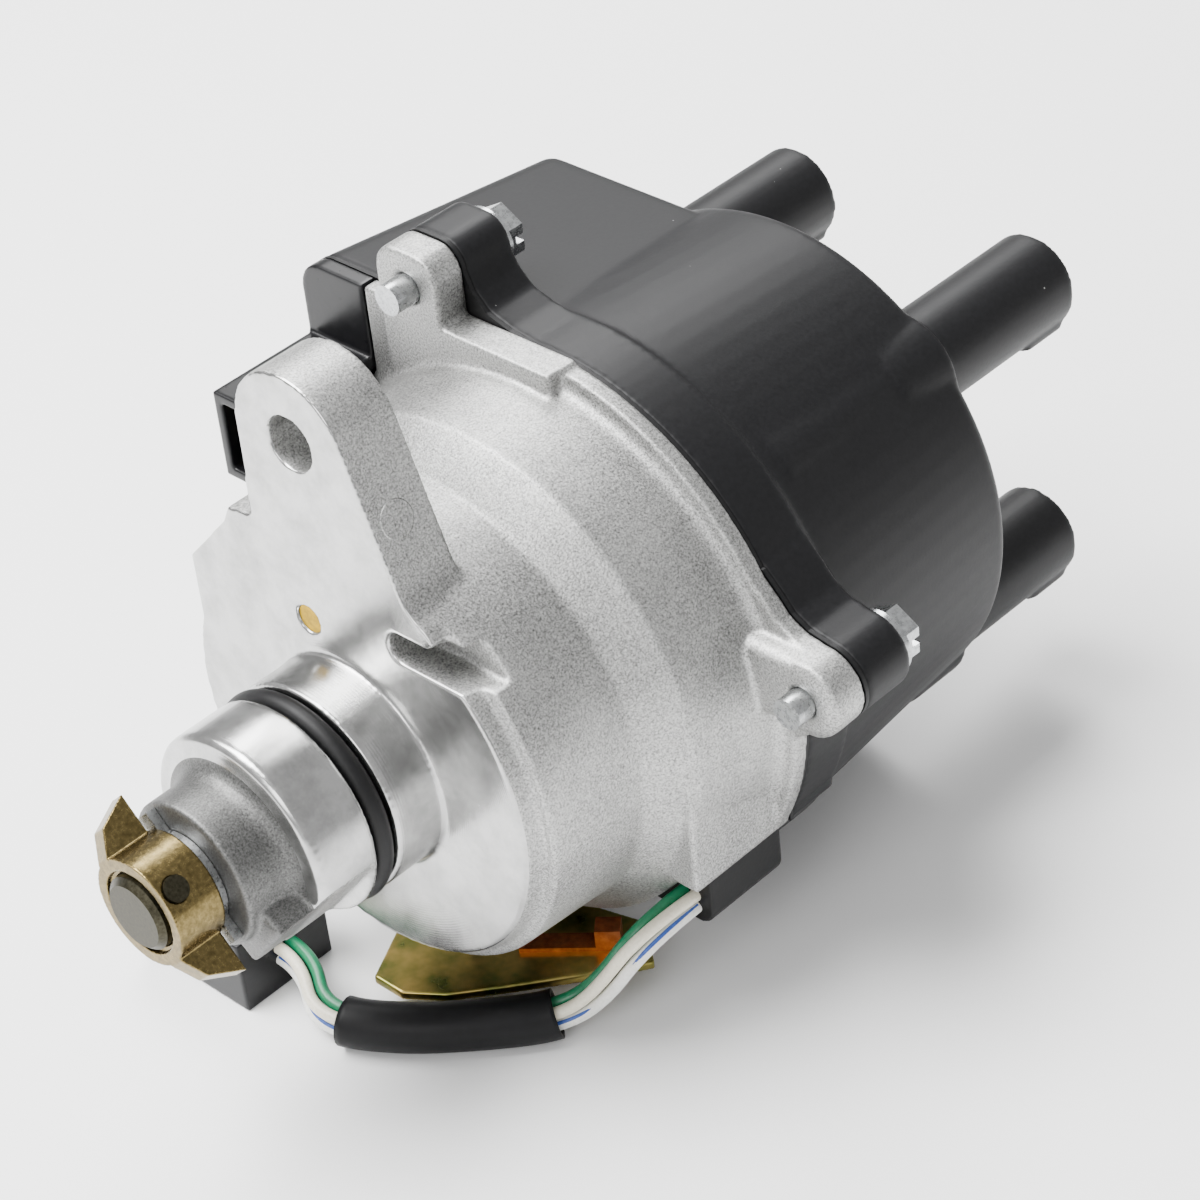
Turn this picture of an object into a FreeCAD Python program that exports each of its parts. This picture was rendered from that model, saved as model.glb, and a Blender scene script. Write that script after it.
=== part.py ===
import FreeCAD, Part
import Sketcher
import math
import os
import re

# Ignition distributor with its coil under the cap, millimetres.
# X runs along the shaft from the drive coupling (low X) to the plug-lead towers (high X).
# The origin lies on the shaft's axis in the plane of the machined mounting face. Z is up.

document = FreeCAD.newDocument("IgnitionDistributor")
sheet = document.addObject("Spreadsheet::Sheet", "Size")
gauge = document.addObject("App::FeaturePython", "Gauge")
gauge.addProperty("App::PropertyFloat", "Reading", "Base")
aliases = []
nodes = []

SIZES = (
    # Nose and spigot, which plug into the cylinder head
    ("nose_end", -33.0),
    ("nose_radius", 12.0),
    ("spigot_front", -24.1),
    ("spigot_radius", 17.5),
    ("spigot_chamfer", 0.9),
    ("ring_groove_start", -13.1),
    ("ring_groove_end", -9.1),
    ("ring_groove_radius", 14.3),
    ("ring_section_radius", 1.7),
    ("nose_blend", 3.0),
    ("nose_rib_start", -31.0),
    ("nose_rib_width", 12.0),
    ("drain_angle", 219.0),
    ("drain_width", 18.5),
    ("drain_floor", 14.8),
    ("drain_end", -14.5),
    # Turned outside of the housing
    ("face_radius", 34.1),
    ("face_step", 3.0),
    ("neck_radius", 36.7),
    ("neck_end", 20.5),
    ("neck_draft", 1.0),
    ("bell_start", 27.0),
    ("bell_radius", 43.2),
    ("bell_draft", 1.2),
    ("flange_blend", 2.2),
    ("flange_back", 43.0),
    ("flange_radius", 47.3),
    ("joint_plane", 46.0),
    # Hollow inside of the housing
    ("chamber_floor", 9.0),
    ("hub_radius", 18.0),
    ("lower_chamber_radius", 33.2),
    ("plate_ledge", 26.0),
    ("upper_chamber_radius", 39.4),
    ("shield_ledge", 43.5),
    ("shield_radius", 41.2),
    ("boss_radius", 4.0),
    ("boss_circle", 30.6),
    # Adjusting lug
    ("lug_across", 4.0),
    ("lug_height", 53.9),
    ("lug_radius", 11.3),
    ("lug_hole_radius", 4.35),
    ("lug_thickness", 11.0),
    ("lug_foot_y", -14.8),
    ("lug_foot_z", 35.5),
    ("face_side", 32.0),
    ("face_shoulder_y", 21.0),
    ("face_shoulder_z", 36.3),
    ("gusset_radius", 8.0),
    ("gusset_y", -22.05),
    ("gusset_z", 38.85),
    # Pocket and plugged hole in the mounting face
    ("pocket_low", 23.2),
    ("pocket_high", 28.5),
    ("pocket_tip", -10.8),
    ("pocket_depth", 6.4),
    ("witness_across", 6.5),
    ("witness_height", 22.3),
    ("witness_radius", 2.3),
    ("witness_depth", 4.5),
    # Flange ears, each with its screw
    ("ear_radius", 6.4),
    ("ear_back", 40.0),
    ("upper_ear_reach", 9.45),
    ("upper_ear_angle", 67.41),
    ("side_ear_reach", 6.11),
    ("side_ear_angle", 169.43),
    ("lower_ear_reach", 5.06),
    ("lower_ear_angle", -56.37),
    ("side_ear_back", 39.3),
    ("side_ear_roll", 2.4),
    ("shelf_height", 47.5),
    ("shelf_left", 17.0),
    ("shelf_right", -6.7),
    ("corner_y", 35.4),
    ("corner_z", 46.6),
    # Skirt over the wire outlet
    ("skirt_side", -42.4),
    ("skirt_bottom", -22.0),
    ("skirt_start", 25.0),
    # Wire grommet
    ("grommet_start", 30.0),
    ("grommet_side", -40.0),
    ("grommet_inner", -21.0),
    ("grommet_bottom", -33.5),
    ("grommet_top", -22.0),
    ("grommet_corner", 3.0),
    # Shaft and its bearings
    ("shaft_end", -44.0),
    ("shaft_radius", 6.0),
    ("shaft_chamfer", 0.9),
    ("shaft_tip_radius", 5.0),
    ("shaft_tip_start", 52.0),
    ("shaft_tip_end", 72.0),
    ("shaft_flat", 4.2),
    ("shaft_clearance", 0.4),
    ("collar_radius", 7.0),
    ("collar_width", 2.0),
    ("bush_radius", 8.0),
    ("bush_start", -30.0),
    ("bush_length", 18.0),
    ("running_gap", 0.04),
    ("seal_radius", 11.0),
    ("seal_start", -1.5),
    ("bearing_start", 4.0),
    ("bearing_width", 8.0),
    ("bearing_radius", 14.0),
    ("bearing_inner_ring", 8.6),
    ("ring_gap", 0.1),
    ("circlip_depth", 0.8),
    ("circlip_width", 1.0),
    # Drive coupling
    ("coupling_length", 8.3),
    ("end_play", 0.1),
    ("coupling_recess_radius", 6.8),
    ("coupling_recess_depth", 0.8),
    ("coupling_radius", 8.8),
    ("dog_reach", 15.2),
    ("dog_slope_radius", 12.7),
    ("dog_slope_length", 2.15),
    ("dog_width", 3.8),
    ("dog_offset", -0.4),
    ("dog_length", 7.5),
    ("dog_angle", 46.0),
    ("cross_pin_inset", 3.6),
    ("cross_pin_angle", 136.0),
    ("cross_pin_radius", 1.95),
    ("washer_radius", 7.6),
    ("washer_reach", 11.0),
    ("washer_wing", 5.4),
    ("washer_thickness", 1.55),
    # Signal rotor, pickup and igniter on their plate
    ("plate_thickness", 1.5),
    ("plate_hole_radius", 20.0),
    ("plate_screw_radius", 2.0),
    ("rotor_start", 29.0),
    ("rotor_width", 9.0),
    ("rotor_hub_radius", 10.0),
    ("rotor_tooth_radius", 17.0),
    ("rotor_tooth_width", 5.0),
    ("tooth_count", 4),
    ("roll_pin_radius", 1.5),
    ("pickup_gap", 0.5),
    ("pickup_core_size", 5.0),
    ("pickup_coil_radius", 6.5),
    ("pickup_coil_length", 9.0),
    ("igniter_width", 24.0),
    ("igniter_low", -36.0),
    ("igniter_high", -20.5),
    ("igniter_thickness", 9.0),
    ("shield_thickness", 2.0),
    ("shield_hole_radius", 11.0),
    # Gasket and cap
    ("gasket_thickness", 0.7),
    ("gasket_band", 3.4),
    ("band_end", 56.4),
    ("cap_inset", 1.3),
    ("cap_band_step", 0.8),
    ("cap_end_radius", 42.75),
    ("cap_end", 99.4),
    ("cap_wall", 3.0),
    ("box_reach", 2.7),
    ("box_top", 46.5),
    ("box_drop", 6.0),
    ("box_corner", 5.0),
    ("box_bottom", -4.0),
    ("box_end", 97.0),
    ("box_end_round", 2.5),
    ("cap_edge_round", 2.0),
    ("tower_root_radius", 11.6),
    ("tower_root_start", 60.0),
    ("tower_root_end", 88.0),
    ("tower_neck_radius", 9.2),
    ("tower_collar_radius", 9.7),
    ("tower_rib_radius", 1.7),
    ("tower_rib_reach", 7.2),
    ("tower_rib_angle", 228.0),
    ("tower_rib_start", 121.0),
    ("tower_inner_boss", 5.2),
    ("tower_inner_start", 87.0),
    ("tower_circle", 34.6),
    ("tower_radius", 8.03),
    ("tower_end", 130.6),
    ("tower_angle", 45.0),
    ("socket_radius", 4.6),
    ("socket_depth", 24.0),
    # Rotor arm, electrodes and centre brush
    ("arm_start", 55.0),
    ("arm_hub_radius", 9.5),
    ("arm_top", 84.0),
    ("arm_reach", 27.5),
    ("arm_width", 13.0),
    ("blade_thickness", 1.6),
    ("blade_width", 8.0),
    ("spark_gap", 0.7),
    ("electrode_radius", 2.7),
    ("electrode_start", 82.0),
    ("brush_radius", 2.5),
    ("brush_gap", 0.06),
    ("brush_length", 7.6),
    ("brush_boss_radius", 5.6),
    ("brush_boss_start", 88.0),
    ("brush_seat", 97.4),
    ("spring_wall", 0.6),
    # Ignition coil in the cap's box
    ("coil_low_y", 12.0),
    ("coil_low_z", 6.0),
    ("coil_end", 79.0),
    ("coil_gap", 0.6),
    ("coil_bay_radius", 34.3),
    ("core_width", 12.0),
    # Side connector
    ("socket_front", 22.0),
    ("socket_depth_y", 14.0),
    ("socket_z_low", 18.0),
    ("socket_z_high", 33.5),
    ("socket_wall", 1.8),
    ("socket_opening_y", 8.2),
    ("socket_floor", 38.0),
    ("moulding_gap", 0.4),
    ("pin_half", 0.4),
    # Screws
    ("cap_screw_radius", 2.5),
    ("cap_screw_tip", 36.0),
    ("cap_screw_clearance", 0.35),
    ("seat_gap", 0.02),
    ("screw_flange_radius", 5.4),
    ("screw_flange", 1.2),
    ("hex_flats", 8.0),
    ("hex_height", 3.4),
    ("pan_head_ratio", 1.9),
    ("pan_head_height", 1.2),
    ("slot_width", 1.3),
    ("slot_depth", 1.6),
    # Harness, bracket and plug
    ("floor", -50.0),
    ("wire_radius", 1.0),
    ("wire_pitch", 2.3),
    ("sleeve_radius", 4.0),
    ("sleeve_bore", 3.4),
    ("wire_exit_y", -35.7),
    ("wire_exit_z", -29.6),
    ("bracket_top", -44.0),
    ("sheet_thickness", 1.6),
    ("bracket_boss_x", 18.0),
    ("bracket_boss_y", -4.0),
    ("bracket_boss_radius", 5.0),
    ("bracket_screw_radius", 2.5),
    ("bracket_head_radius", 4.6),
    ("bracket_head_height", 3.4),
    ("clip_length", 16.0),
    ("clip_width", 3.5),
    ("clip_thickness", 0.8),
    ("clip_height", 4.0),
    ("clip_angle", -51.0),
    ("plug_low_x", -15.8),
    ("plug_width", 18.0),
    ("plug_front", 18.0),
    ("plug_length", 24.0),
    ("plug_height", 13.5),
    ("plug_wall", 1.8),
    ("latch_width", 6.0),
    ("latch_height", 1.6),
    ("terminal_width", 1.6),
    ("terminal_thickness", 0.8),
)

# Places that follow from those sizes
FOLLOWING = {
    "cap_radius": "flange_radius - cap_inset",
    "box_side": "flange_radius + box_reach",
    "upper_ear_y": "(flange_radius + upper_ear_reach) * cos(upper_ear_angle)",
    "upper_ear_z": "(flange_radius + upper_ear_reach) * sin(upper_ear_angle)",
    "side_ear_y": "(flange_radius + side_ear_reach) * cos(side_ear_angle)",
    "side_ear_z": "(flange_radius + side_ear_reach) * sin(side_ear_angle)",
    "lower_ear_y": "(flange_radius + lower_ear_reach) * cos(lower_ear_angle)",
    "lower_ear_z": "(flange_radius + lower_ear_reach) * sin(lower_ear_angle)",
    "socket_y_low": "flange_radius + box_reach - socket_depth_y",
    "socket_inner_y": "flange_radius + box_reach - socket_opening_y",
}


# The sheet and the formulas that read it

def enter_sizes(table):
    for row, (alias, value) in enumerate(table, start=1):
        sheet.set("A%d" % row, alias)
        sheet.set("B%d" % row, str(value))
        sheet.setAlias("B%d" % row, alias)
        aliases.append(alias)
    document.recompute()


def formula(text):
    """A formula in the cells' names, written the way the document's expressions want it."""
    def spelt_out(word):
        return "(%s)" % FOLLOWING[word.group()] if word.group() in FOLLOWING else word.group()

    def in_sheet(word):
        return "Size." + word.group() if word.group() in aliases else word.group()
    return re.sub(r"[a-z_]+", in_sheet, re.sub(r"[a-z_]+", spelt_out, str(text)))


def number(text):
    """The present value of a formula."""
    gauge.setExpression("Reading", formula(text))
    gauge.recompute()
    return gauge.Reading


def bind(thing, formulas):
    for path, text in formulas.items():
        thing.setExpression(path, formula(text))


def node(label, thing):
    """Names a finished piece."""
    thing.Label = label
    nodes.append(thing)
    return thing


# Plain solids

def rod(name, radius, start, end, y=0, z=0):
    """Cylinder along X."""
    thing = document.addObject("Part::Cylinder", name)
    thing.Placement.Rotation = FreeCAD.Rotation(FreeCAD.Vector(0, 1, 0), 90)
    bind(thing, {
        "Radius": radius,
        "Height": "(%s) - (%s)" % (end, start),
        "Placement.Base.x": start,
        "Placement.Base.y": y,
        "Placement.Base.z": z,
    })
    return thing


def cone(name, start_radius, end_radius, start, end, y=0, z=0):
    """Cone along X."""
    thing = document.addObject("Part::Cone", name)
    thing.Placement.Rotation = FreeCAD.Rotation(FreeCAD.Vector(0, 1, 0), 90)
    bind(thing, {
        "Radius1": start_radius,
        "Radius2": end_radius,
        "Height": "(%s) - (%s)" % (end, start),
        "Placement.Base.x": start,
        "Placement.Base.y": y,
        "Placement.Base.z": z,
    })
    return thing


def cross_rod(name, radius, length, x, y, z, axis):
    """Cylinder across the shaft: axis is Y or Z, and y, z give the low end."""
    thing = document.addObject("Part::Cylinder", name)
    if axis == "Y":
        thing.Placement.Rotation = FreeCAD.Rotation(FreeCAD.Vector(1, 0, 0), -90)
    bind(thing, {
        "Radius": radius,
        "Height": length,
        "Placement.Base.x": x,
        "Placement.Base.y": y,
        "Placement.Base.z": z,
    })
    return thing


def block(name, x_range, y_range, z_range):
    thing = document.addObject("Part::Box", name)
    sides = zip(("Length", "Width", "Height"), ("x", "y", "z"), (x_range, y_range, z_range))
    for side, axis, (low, high) in sides:
        bind(thing, {side: "(%s) - (%s)" % (high, low), "Placement.Base." + axis: low})
    return thing


def hexagon(name, flats, start, height, y, z):
    """Hexagonal prism along X."""
    thing = document.addObject("Part::Prism", name)
    thing.Polygon = 6
    thing.Placement.Rotation = FreeCAD.Rotation(FreeCAD.Vector(0, 1, 0), 90)
    bind(thing, {
        "Circumradius": "(%s) / 2 / cos(30)" % flats,
        "Height": height,
        "Placement.Base.x": start,
        "Placement.Base.y": y,
        "Placement.Base.z": z,
    })
    return thing


def joined(name, pieces):
    thing = document.addObject("Part::MultiFuse", name)
    thing.Shapes = pieces
    thing.Refine = True
    return thing


def cut(name, base, tools):
    tool = tools[0] if len(tools) == 1 else joined(name + "Tools", tools)
    thing = document.addObject("Part::Cut", name)
    thing.Base = base
    thing.Tool = tool
    thing.Refine = True
    return thing


def grouped(name, pieces):
    """Several loose solids that share one node."""
    thing = document.addObject("Part::Compound", name)
    thing.Links = pieces
    return thing


def turned_about_x(thing, angle):
    """Turns a finished piece about the shaft's axis."""
    thing.Placement.Rotation = FreeCAD.Rotation(FreeCAD.Vector(1, 0, 0), number(angle))
    thing.setExpression("Placement.Rotation.Angle", formula(angle))
    return thing


# Sketched solids

def outline(body, role, points, name):
    """Closed sketch of straight lines, each corner held by two formulas."""
    drawing = body.newObject("Sketcher::SketchObject", name)
    planes = [feature for feature in body.Origin.OriginFeatures if feature.Role == role]
    drawing.AttachmentSupport = (planes[0], [""])
    drawing.MapMode = "FlatFace"
    values = [FreeCAD.Vector(number(a), number(b), 0) for a, b in points]
    for here, after in zip(values, values[1:] + values[:1]):
        drawing.addGeometry(Part.LineSegment(here, after), False)
    for index in range(len(points)):
        following = (index + 1) % len(points)
        drawing.addConstraint(Sketcher.Constraint("Coincident", index, 2, following, 1))
    for index, (pair, value) in enumerate(zip(points, values)):
        for kind, text, distance, axis in (
            ("DistanceX", pair[0], value.x, -2),
            ("DistanceY", pair[1], value.y, -1),
        ):
            if str(text) == "0":
                drawing.addConstraint(Sketcher.Constraint("PointOnObject", index, 1, axis))
            else:
                rule = Sketcher.Constraint(kind, -1, 1, index, 1, distance)
                drawing.setExpression("Constraints[%d]" % drawing.addConstraint(rule), formula(text))
    return drawing


def lathe(name, profile):
    """Solid of revolution about X; each corner of the profile is (x, radius)."""
    body = document.addObject("PartDesign::Body", name)
    drawing = outline(body, "XY_Plane", profile, name + "Profile")
    turn = body.newObject("PartDesign::Revolution", name + "Turn")
    turn.Profile = drawing
    turn.ReferenceAxis = (drawing, ["H_Axis"])
    turn.Angle = 360
    document.recompute()
    return body


def padded(name, plane, corners, start, end):
    """Outline on one of the origin's planes, padded along the plane's normal from start to end."""
    body = document.addObject("PartDesign::Body", name)
    drawing = outline(body, plane, corners, name + "Outline")
    bind(drawing, {"AttachmentOffset.Base.z": start})
    pad = body.newObject("PartDesign::Pad", name + "Pad")
    pad.Profile = drawing
    bind(pad, {"Length": "(%s) - (%s)" % (end, start)})
    document.recompute()
    return body


def prism(name, corners, start, end):
    """Outline in Y and Z, padded along X from start to end."""
    return padded(name, "YZ_Plane", corners, start, end)


def slab(name, corners, low, high):
    """Outline in X and Y, padded along Z from low to high."""
    return padded(name, "XY_Plane", corners, low, high)


def round_edges(body, radius, wanted, name):
    """Fillets those edges of a body's last feature that the given test picks."""
    before = body.Tip
    picked = ["Edge%d" % (index + 1) for index, edge in enumerate(before.Shape.Edges) if wanted(edge)]
    fillet = body.newObject("PartDesign::Fillet", name)
    fillet.Base = (before, picked)
    bind(fillet, {"Radius": radius})
    document.recompute()
    return body


def ring_at(x, radius):
    """Test for the full circle about the shaft's axis at this x and radius."""
    place = number(x)
    size = number(radius)

    def wanted(edge):
        round_edge = isinstance(edge.Curve, Part.Circle)
        return round_edge and abs(edge.Curve.Center.x - place) < 0.01 and abs(edge.Curve.Radius - size) < 0.01
    return wanted


def along_x_at(y, z):
    """Test for the straight edge along X that passes this y and z."""
    place = FreeCAD.Vector(0, number(y), number(z))

    def wanted(edge):
        ends = [FreeCAD.Vector(0, vertex.Y, vertex.Z) for vertex in edge.Vertexes]
        return len(ends) == 2 and all(end.distanceToPoint(place) < 0.01 for end in ends)
    return wanted


enter_sizes(SIZES)

# Names for places that several pieces share
CAP_START = "joint_plane + gasket_thickness"
SCREWS = (
    ("upper_ear_y", "upper_ear_z"),
    ("side_ear_y", "side_ear_z"),
    ("lower_ear_y", "lower_ear_z"),
)
TOWER_TURNS = (0, 90, 180, 270)
PLATE_TOP = "plate_ledge + plate_thickness"


SHELF = (
    ("shelf_right", "shelf_height - 10"),
    ("shelf_left", "shelf_height - 10"),
    ("shelf_left", "shelf_height"),
    ("shelf_right", "shelf_height"),
)
UPPER_EAR_WEB = (
    ("upper_ear_y", "upper_ear_z - 16"),
    ("upper_ear_y", "upper_ear_z + 2"),
    ("upper_ear_y - ear_radius", "upper_ear_z + 2"),
    ("upper_ear_y - ear_radius - 1.2", "upper_ear_z - 0.9"),
    ("upper_ear_y - ear_radius - 3.9", "upper_ear_z - 3.7"),
    ("upper_ear_y - ear_radius - 8.4", "upper_ear_z - 5.1"),
    ("upper_ear_y - ear_radius - 17", "upper_ear_z - 6.3"),
    ("upper_ear_y - ear_radius - 17", "upper_ear_z - 16"),
)


def flange_pieces(name, start, end, radius, ear_start, upper_web):
    """Plan of the bolted joint: the round band, the three screw ears and the webs between them."""
    upper = prism(name + "UpperEar", (
        ("upper_ear_y - ear_radius", "shelf_height - 12"),
        ("upper_ear_y + ear_radius", "corner_z - 12"),
        ("upper_ear_y + ear_radius", "upper_ear_z + ear_radius"),
        ("upper_ear_y - ear_radius", "upper_ear_z + ear_radius"),
    ), ear_start, end)
    for side in ("upper_ear_y + ear_radius", "upper_ear_y - ear_radius"):
        corner = along_x_at(side, "upper_ear_z + ear_radius")
        round_edges(upper, "ear_radius * 0.7", corner, name + "EarRound")
    side_web = prism(name + "SideWeb", (
        ("side_ear_y", "side_ear_z + ear_radius"),
        ("side_ear_y - 2", "side_ear_z - ear_radius + 0.4"),
        ("side_ear_y + 4", "side_ear_z - ear_radius - 4.4"),
        ("side_ear_y + 7", "side_ear_z - ear_radius - 5.8"),
        ("side_ear_y + 18", "side_ear_z - ear_radius - 5.8"),
        ("side_ear_y + 18", "side_ear_z + 14.4"),
        ("side_ear_y + 12", "side_ear_z + 14.4"),
        ("side_ear_y + 9.2", "side_ear_z + 11.5"),
        ("side_ear_y + 6.9", "side_ear_z + 8.8"),
        ("side_ear_y + 4", "side_ear_z + 7.1"),
    ), start, end)
    lower_web = prism(name + "LowerWeb", (
        ("lower_ear_y + ear_radius", "lower_ear_z"),
        ("lower_ear_y + ear_radius", "lower_ear_z + 20"),
        ("lower_ear_y - 12", "lower_ear_z + 20"),
        ("lower_ear_y - 16", "lower_ear_z + 1.5"),
        ("lower_ear_y - 2.5", "lower_ear_z - ear_radius + 0.5"),
    ), start, end)
    shelf = prism(name + "Shelf", upper_web, ear_start, end)
    skirt_edge = block(
        name + "SkirtEdge",
        (start, end), ("skirt_side", "skirt_side + 10"), ("skirt_bottom", "0"))
    pieces = [rod(name + "Band", radius, start, end), upper, side_web, lower_web, shelf, skirt_edge]
    for index, (y, z) in enumerate(SCREWS):
        pieces.append(rod(name + "Ear%d" % index, "ear_radius", ear_start, end, y, z))
    return pieces


# Housing: cast aluminium body.
# The nose, spigot, face, neck, bell and flange are one turned form with a stepped hollow.

BEARING_END = "bearing_start + bearing_width"
HUB_TOP = "bearing_start + bearing_width + 2 * circlip_width"


def polar(radius, angle):
    """Y and Z formulas of a place at this radius and angle about the shaft."""
    return "(%s) * cos(%s)" % (radius, angle), "(%s) * sin(%s)" % (radius, angle)


def hollow_corner(x, radius, blend):
    """Profile points of a rounded inner corner, from a cylinder's side up to a flat face."""
    return tuple(
        ("%s - %s * (1 - sin(%s))" % (x, blend, angle), "%s + %s * (1 - cos(%s))" % (radius, blend, angle))
        for angle in (0, 30, 60, 90))


housing_outside = lathe("HousingOutside", (
    ("nose_end", "0"),
    ("nose_end", "nose_radius"),
) + hollow_corner("spigot_front", "nose_radius", "nose_blend") + (
    ("spigot_front", "spigot_radius - spigot_chamfer"),
    ("spigot_front + spigot_chamfer", "spigot_radius"),
    ("ring_groove_start", "spigot_radius"),
    ("ring_groove_start", "ring_groove_radius"),
    ("ring_groove_end", "ring_groove_radius"),
    ("ring_groove_end", "spigot_radius"),
    ("0", "spigot_radius"),
    ("0", "face_radius"),
    ("face_step", "face_radius + 0.8"),
    ("face_step", "neck_radius"),
    ("neck_end", "neck_radius + neck_draft"),
    ("bell_start", "bell_radius"),
) + hollow_corner("flange_back", "bell_radius + bell_draft", "flange_blend") + (
    ("flange_back", "flange_radius"),
    ("joint_plane", "flange_radius"),
    ("joint_plane", "0"),
))
housing_hollow = lathe("HousingHollow", (
    ("nose_end - 1", "0"),
    ("nose_end - 1", "shaft_radius + shaft_clearance"),
    ("bush_start", "shaft_radius + shaft_clearance"),
    ("bush_start", "bush_radius"),
    ("seal_start", "bush_radius"),
    ("seal_start", "seal_radius"),
    ("bearing_start", "seal_radius"),
    ("bearing_start", "bearing_radius"),
    (BEARING_END, "bearing_radius"),
    (BEARING_END, "bearing_radius + circlip_depth"),
    (BEARING_END + " + circlip_width", "bearing_radius + circlip_depth"),
    (BEARING_END + " + circlip_width", "bearing_radius"),
    (HUB_TOP, "bearing_radius"),
    (HUB_TOP, "hub_radius"),
    ("chamber_floor", "hub_radius"),
    ("chamber_floor", "lower_chamber_radius"),
    ("plate_ledge", "lower_chamber_radius"),
    ("plate_ledge", "upper_chamber_radius"),
    ("shield_ledge", "upper_chamber_radius"),
    ("shield_ledge", "shield_radius"),
    ("joint_plane + 1", "shield_radius"),
    ("joint_plane + 1", "0"),
))

# Adjusting lug: a thick tab above the face, with a rounded gusset at the foot of its flank
lug_end = rod("LugEnd", "lug_radius", "0", "lug_thickness", "lug_across", "lug_height")
lug_web = prism("LugWeb", (
    ("lug_across + lug_radius", "lug_height"),
    ("lug_across", "lug_height"),
    ("lug_across - lug_radius * 0.944", "lug_height + lug_radius * 0.33"),
    ("lug_foot_y", "lug_foot_z"),
    ("lug_foot_y", "lug_foot_z - 8"),
    ("0", "spigot_radius + 2"),
    ("face_side", "-2"),
    ("face_side", "face_side * 0.72"),
    ("face_shoulder_y + 1.4", "face_shoulder_z - 3"),
    ("face_shoulder_y", "face_shoulder_z"),
    ("lug_across + lug_radius + 0.4", "face_shoulder_z + 0.7"),
), "0", "lug_thickness")
lug_gusset = cut("LugGusset", prism("LugGussetSolid", (
    ("gusset_y + 12", "gusset_z - 2.75"),
    ("gusset_y + 7.5", "gusset_z - 2.75"),
    ("gusset_y + 1.65", "gusset_z - 9.05"),
    ("gusset_y + 6", "gusset_z - 14"),
    ("gusset_y + 14", "gusset_z - 14"),
), "0", "lug_thickness"), [rod("LugGussetHollow", "gusset_radius", "-1", "lug_thickness + 1", "gusset_y", "gusset_z")])

# Side ear: a rounded tab that reaches further back than the flange
side_ear = prism("SideEarBoss", (
    ("side_ear_y - ear_radius", "side_ear_z - ear_radius"),
    ("side_ear_y + 16", "side_ear_z - ear_radius"),
    ("side_ear_y + 16", "side_ear_z + ear_radius"),
    ("side_ear_y - ear_radius", "side_ear_z + ear_radius"),
), "side_ear_back", "flange_back")
for side in ("side_ear_z - ear_radius", "side_ear_z + ear_radius"):
    round_edges(side_ear, "ear_radius * 0.98", along_x_at("side_ear_y - ear_radius", side), "SideEarRound")
side_ear_front = number("side_ear_back")
side_ear_inside = number("side_ear_y + 15")


def on_ear_front(edge):
    middle = edge.CenterOfMass
    return abs(middle.x - side_ear_front) < 0.01 and middle.y < side_ear_inside


round_edges(side_ear, "side_ear_roll", on_ear_front, "SideEarRoll")

flange_corner = block(
    "FlangeCorner", ("flange_back", "joint_plane"),
    ("shelf_left", "corner_y"), ("corner_z - 22", "corner_z"))
skirt = block(
    "Skirt", ("skirt_start", "flange_back"), ("skirt_side", "skirt_side + 14"), ("skirt_bottom", "0"))
bracket_boss = cross_rod(
    "BracketBoss", "bracket_boss_radius", "-bracket_top - lower_chamber_radius + 3",
    "bracket_boss_x", "bracket_boss_y", "bracket_top", "Z")

nose_rib = turned_about_x(grouped("NoseRibPlaced", [block(
    "NoseRib", ("nose_rib_start", "spigot_front + 1"), ("nose_radius - 4", "drain_floor"),
    ("-nose_rib_width / 2", "nose_rib_width / 2"))]), "drain_angle")

housing_solid = joined("HousingSolid", [
    housing_outside, lug_end, lug_web, lug_gusset, side_ear, flange_corner, skirt, bracket_boss, nose_rib,
] + flange_pieces("Flange", "flange_back", "joint_plane", "flange_radius", "ear_back", SHELF))

# Wire outlet beside the skirt, and the sliver of flange that it leaves

def outlet_form(name, end):
    """Section of the wire outlet, rounded at its outer corner."""
    form = prism(name, (
        ("grommet_side", "grommet_top"),
        ("grommet_side", "grommet_bottom"),
        ("grommet_inner", "grommet_bottom"),
        ("grommet_inner", "grommet_top"),
    ), "grommet_start", end)
    return round_edges(form, "grommet_corner", along_x_at("grommet_side", "grommet_bottom"), name + "Corner")


outlet = outlet_form("Outlet", "joint_plane + 1")
outlet_trim = block(
    "OutletTrim", ("skirt_start", "joint_plane + 1"),
    ("grommet_side - 15", "grommet_side"), ("grommet_bottom", "skirt_bottom"))
housing_shell = cut("HousingShell", housing_solid, [housing_hollow, outlet, outlet_trim])

# Two bosses in the lower chamber carry the pickup plate
PLATE_SCREWS = (20, 160)
plate_bosses = [
    rod("PlateBoss%d" % angle, "boss_radius", "chamber_floor - 1", "plate_ledge", *polar("boss_circle", angle))
    for angle in PLATE_SCREWS
]
plate_screw_holes = [
    rod("PlateScrewHole%d" % angle, "plate_screw_radius + seat_gap", "plate_ledge - 9", "plate_ledge + 1",
        *polar("boss_circle", angle))
    for angle in PLATE_SCREWS
]
lug_hole = rod("LugHole", "lug_hole_radius", "-1", "lug_thickness + 1", "lug_across", "lug_height")
pocket_middle = "(pocket_low + pocket_high) / 2"
pocket_half = "(pocket_high - pocket_low) / 2"
pocket_end = rod(
    "PocketEnd", pocket_half, "-1", "pocket_depth", "pocket_tip - " + pocket_half, pocket_middle)
pocket = block(
    "Pocket", ("-1", "pocket_depth"),
    ("-neck_radius - 5", "pocket_tip - " + pocket_half), ("pocket_low", "pocket_high"))
witness_hole = rod(
    "WitnessHole", "witness_radius + seat_gap", "-1", "witness_depth", "witness_across", "witness_height")
drain_recess = turned_about_x(grouped("DrainPlaced", [block(
    "Drain", ("spigot_front - 4", "drain_end"),
    ("drain_floor", "spigot_radius + 1"), ("-drain_width / 2", "drain_width / 2"))]), "drain_angle")
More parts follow.
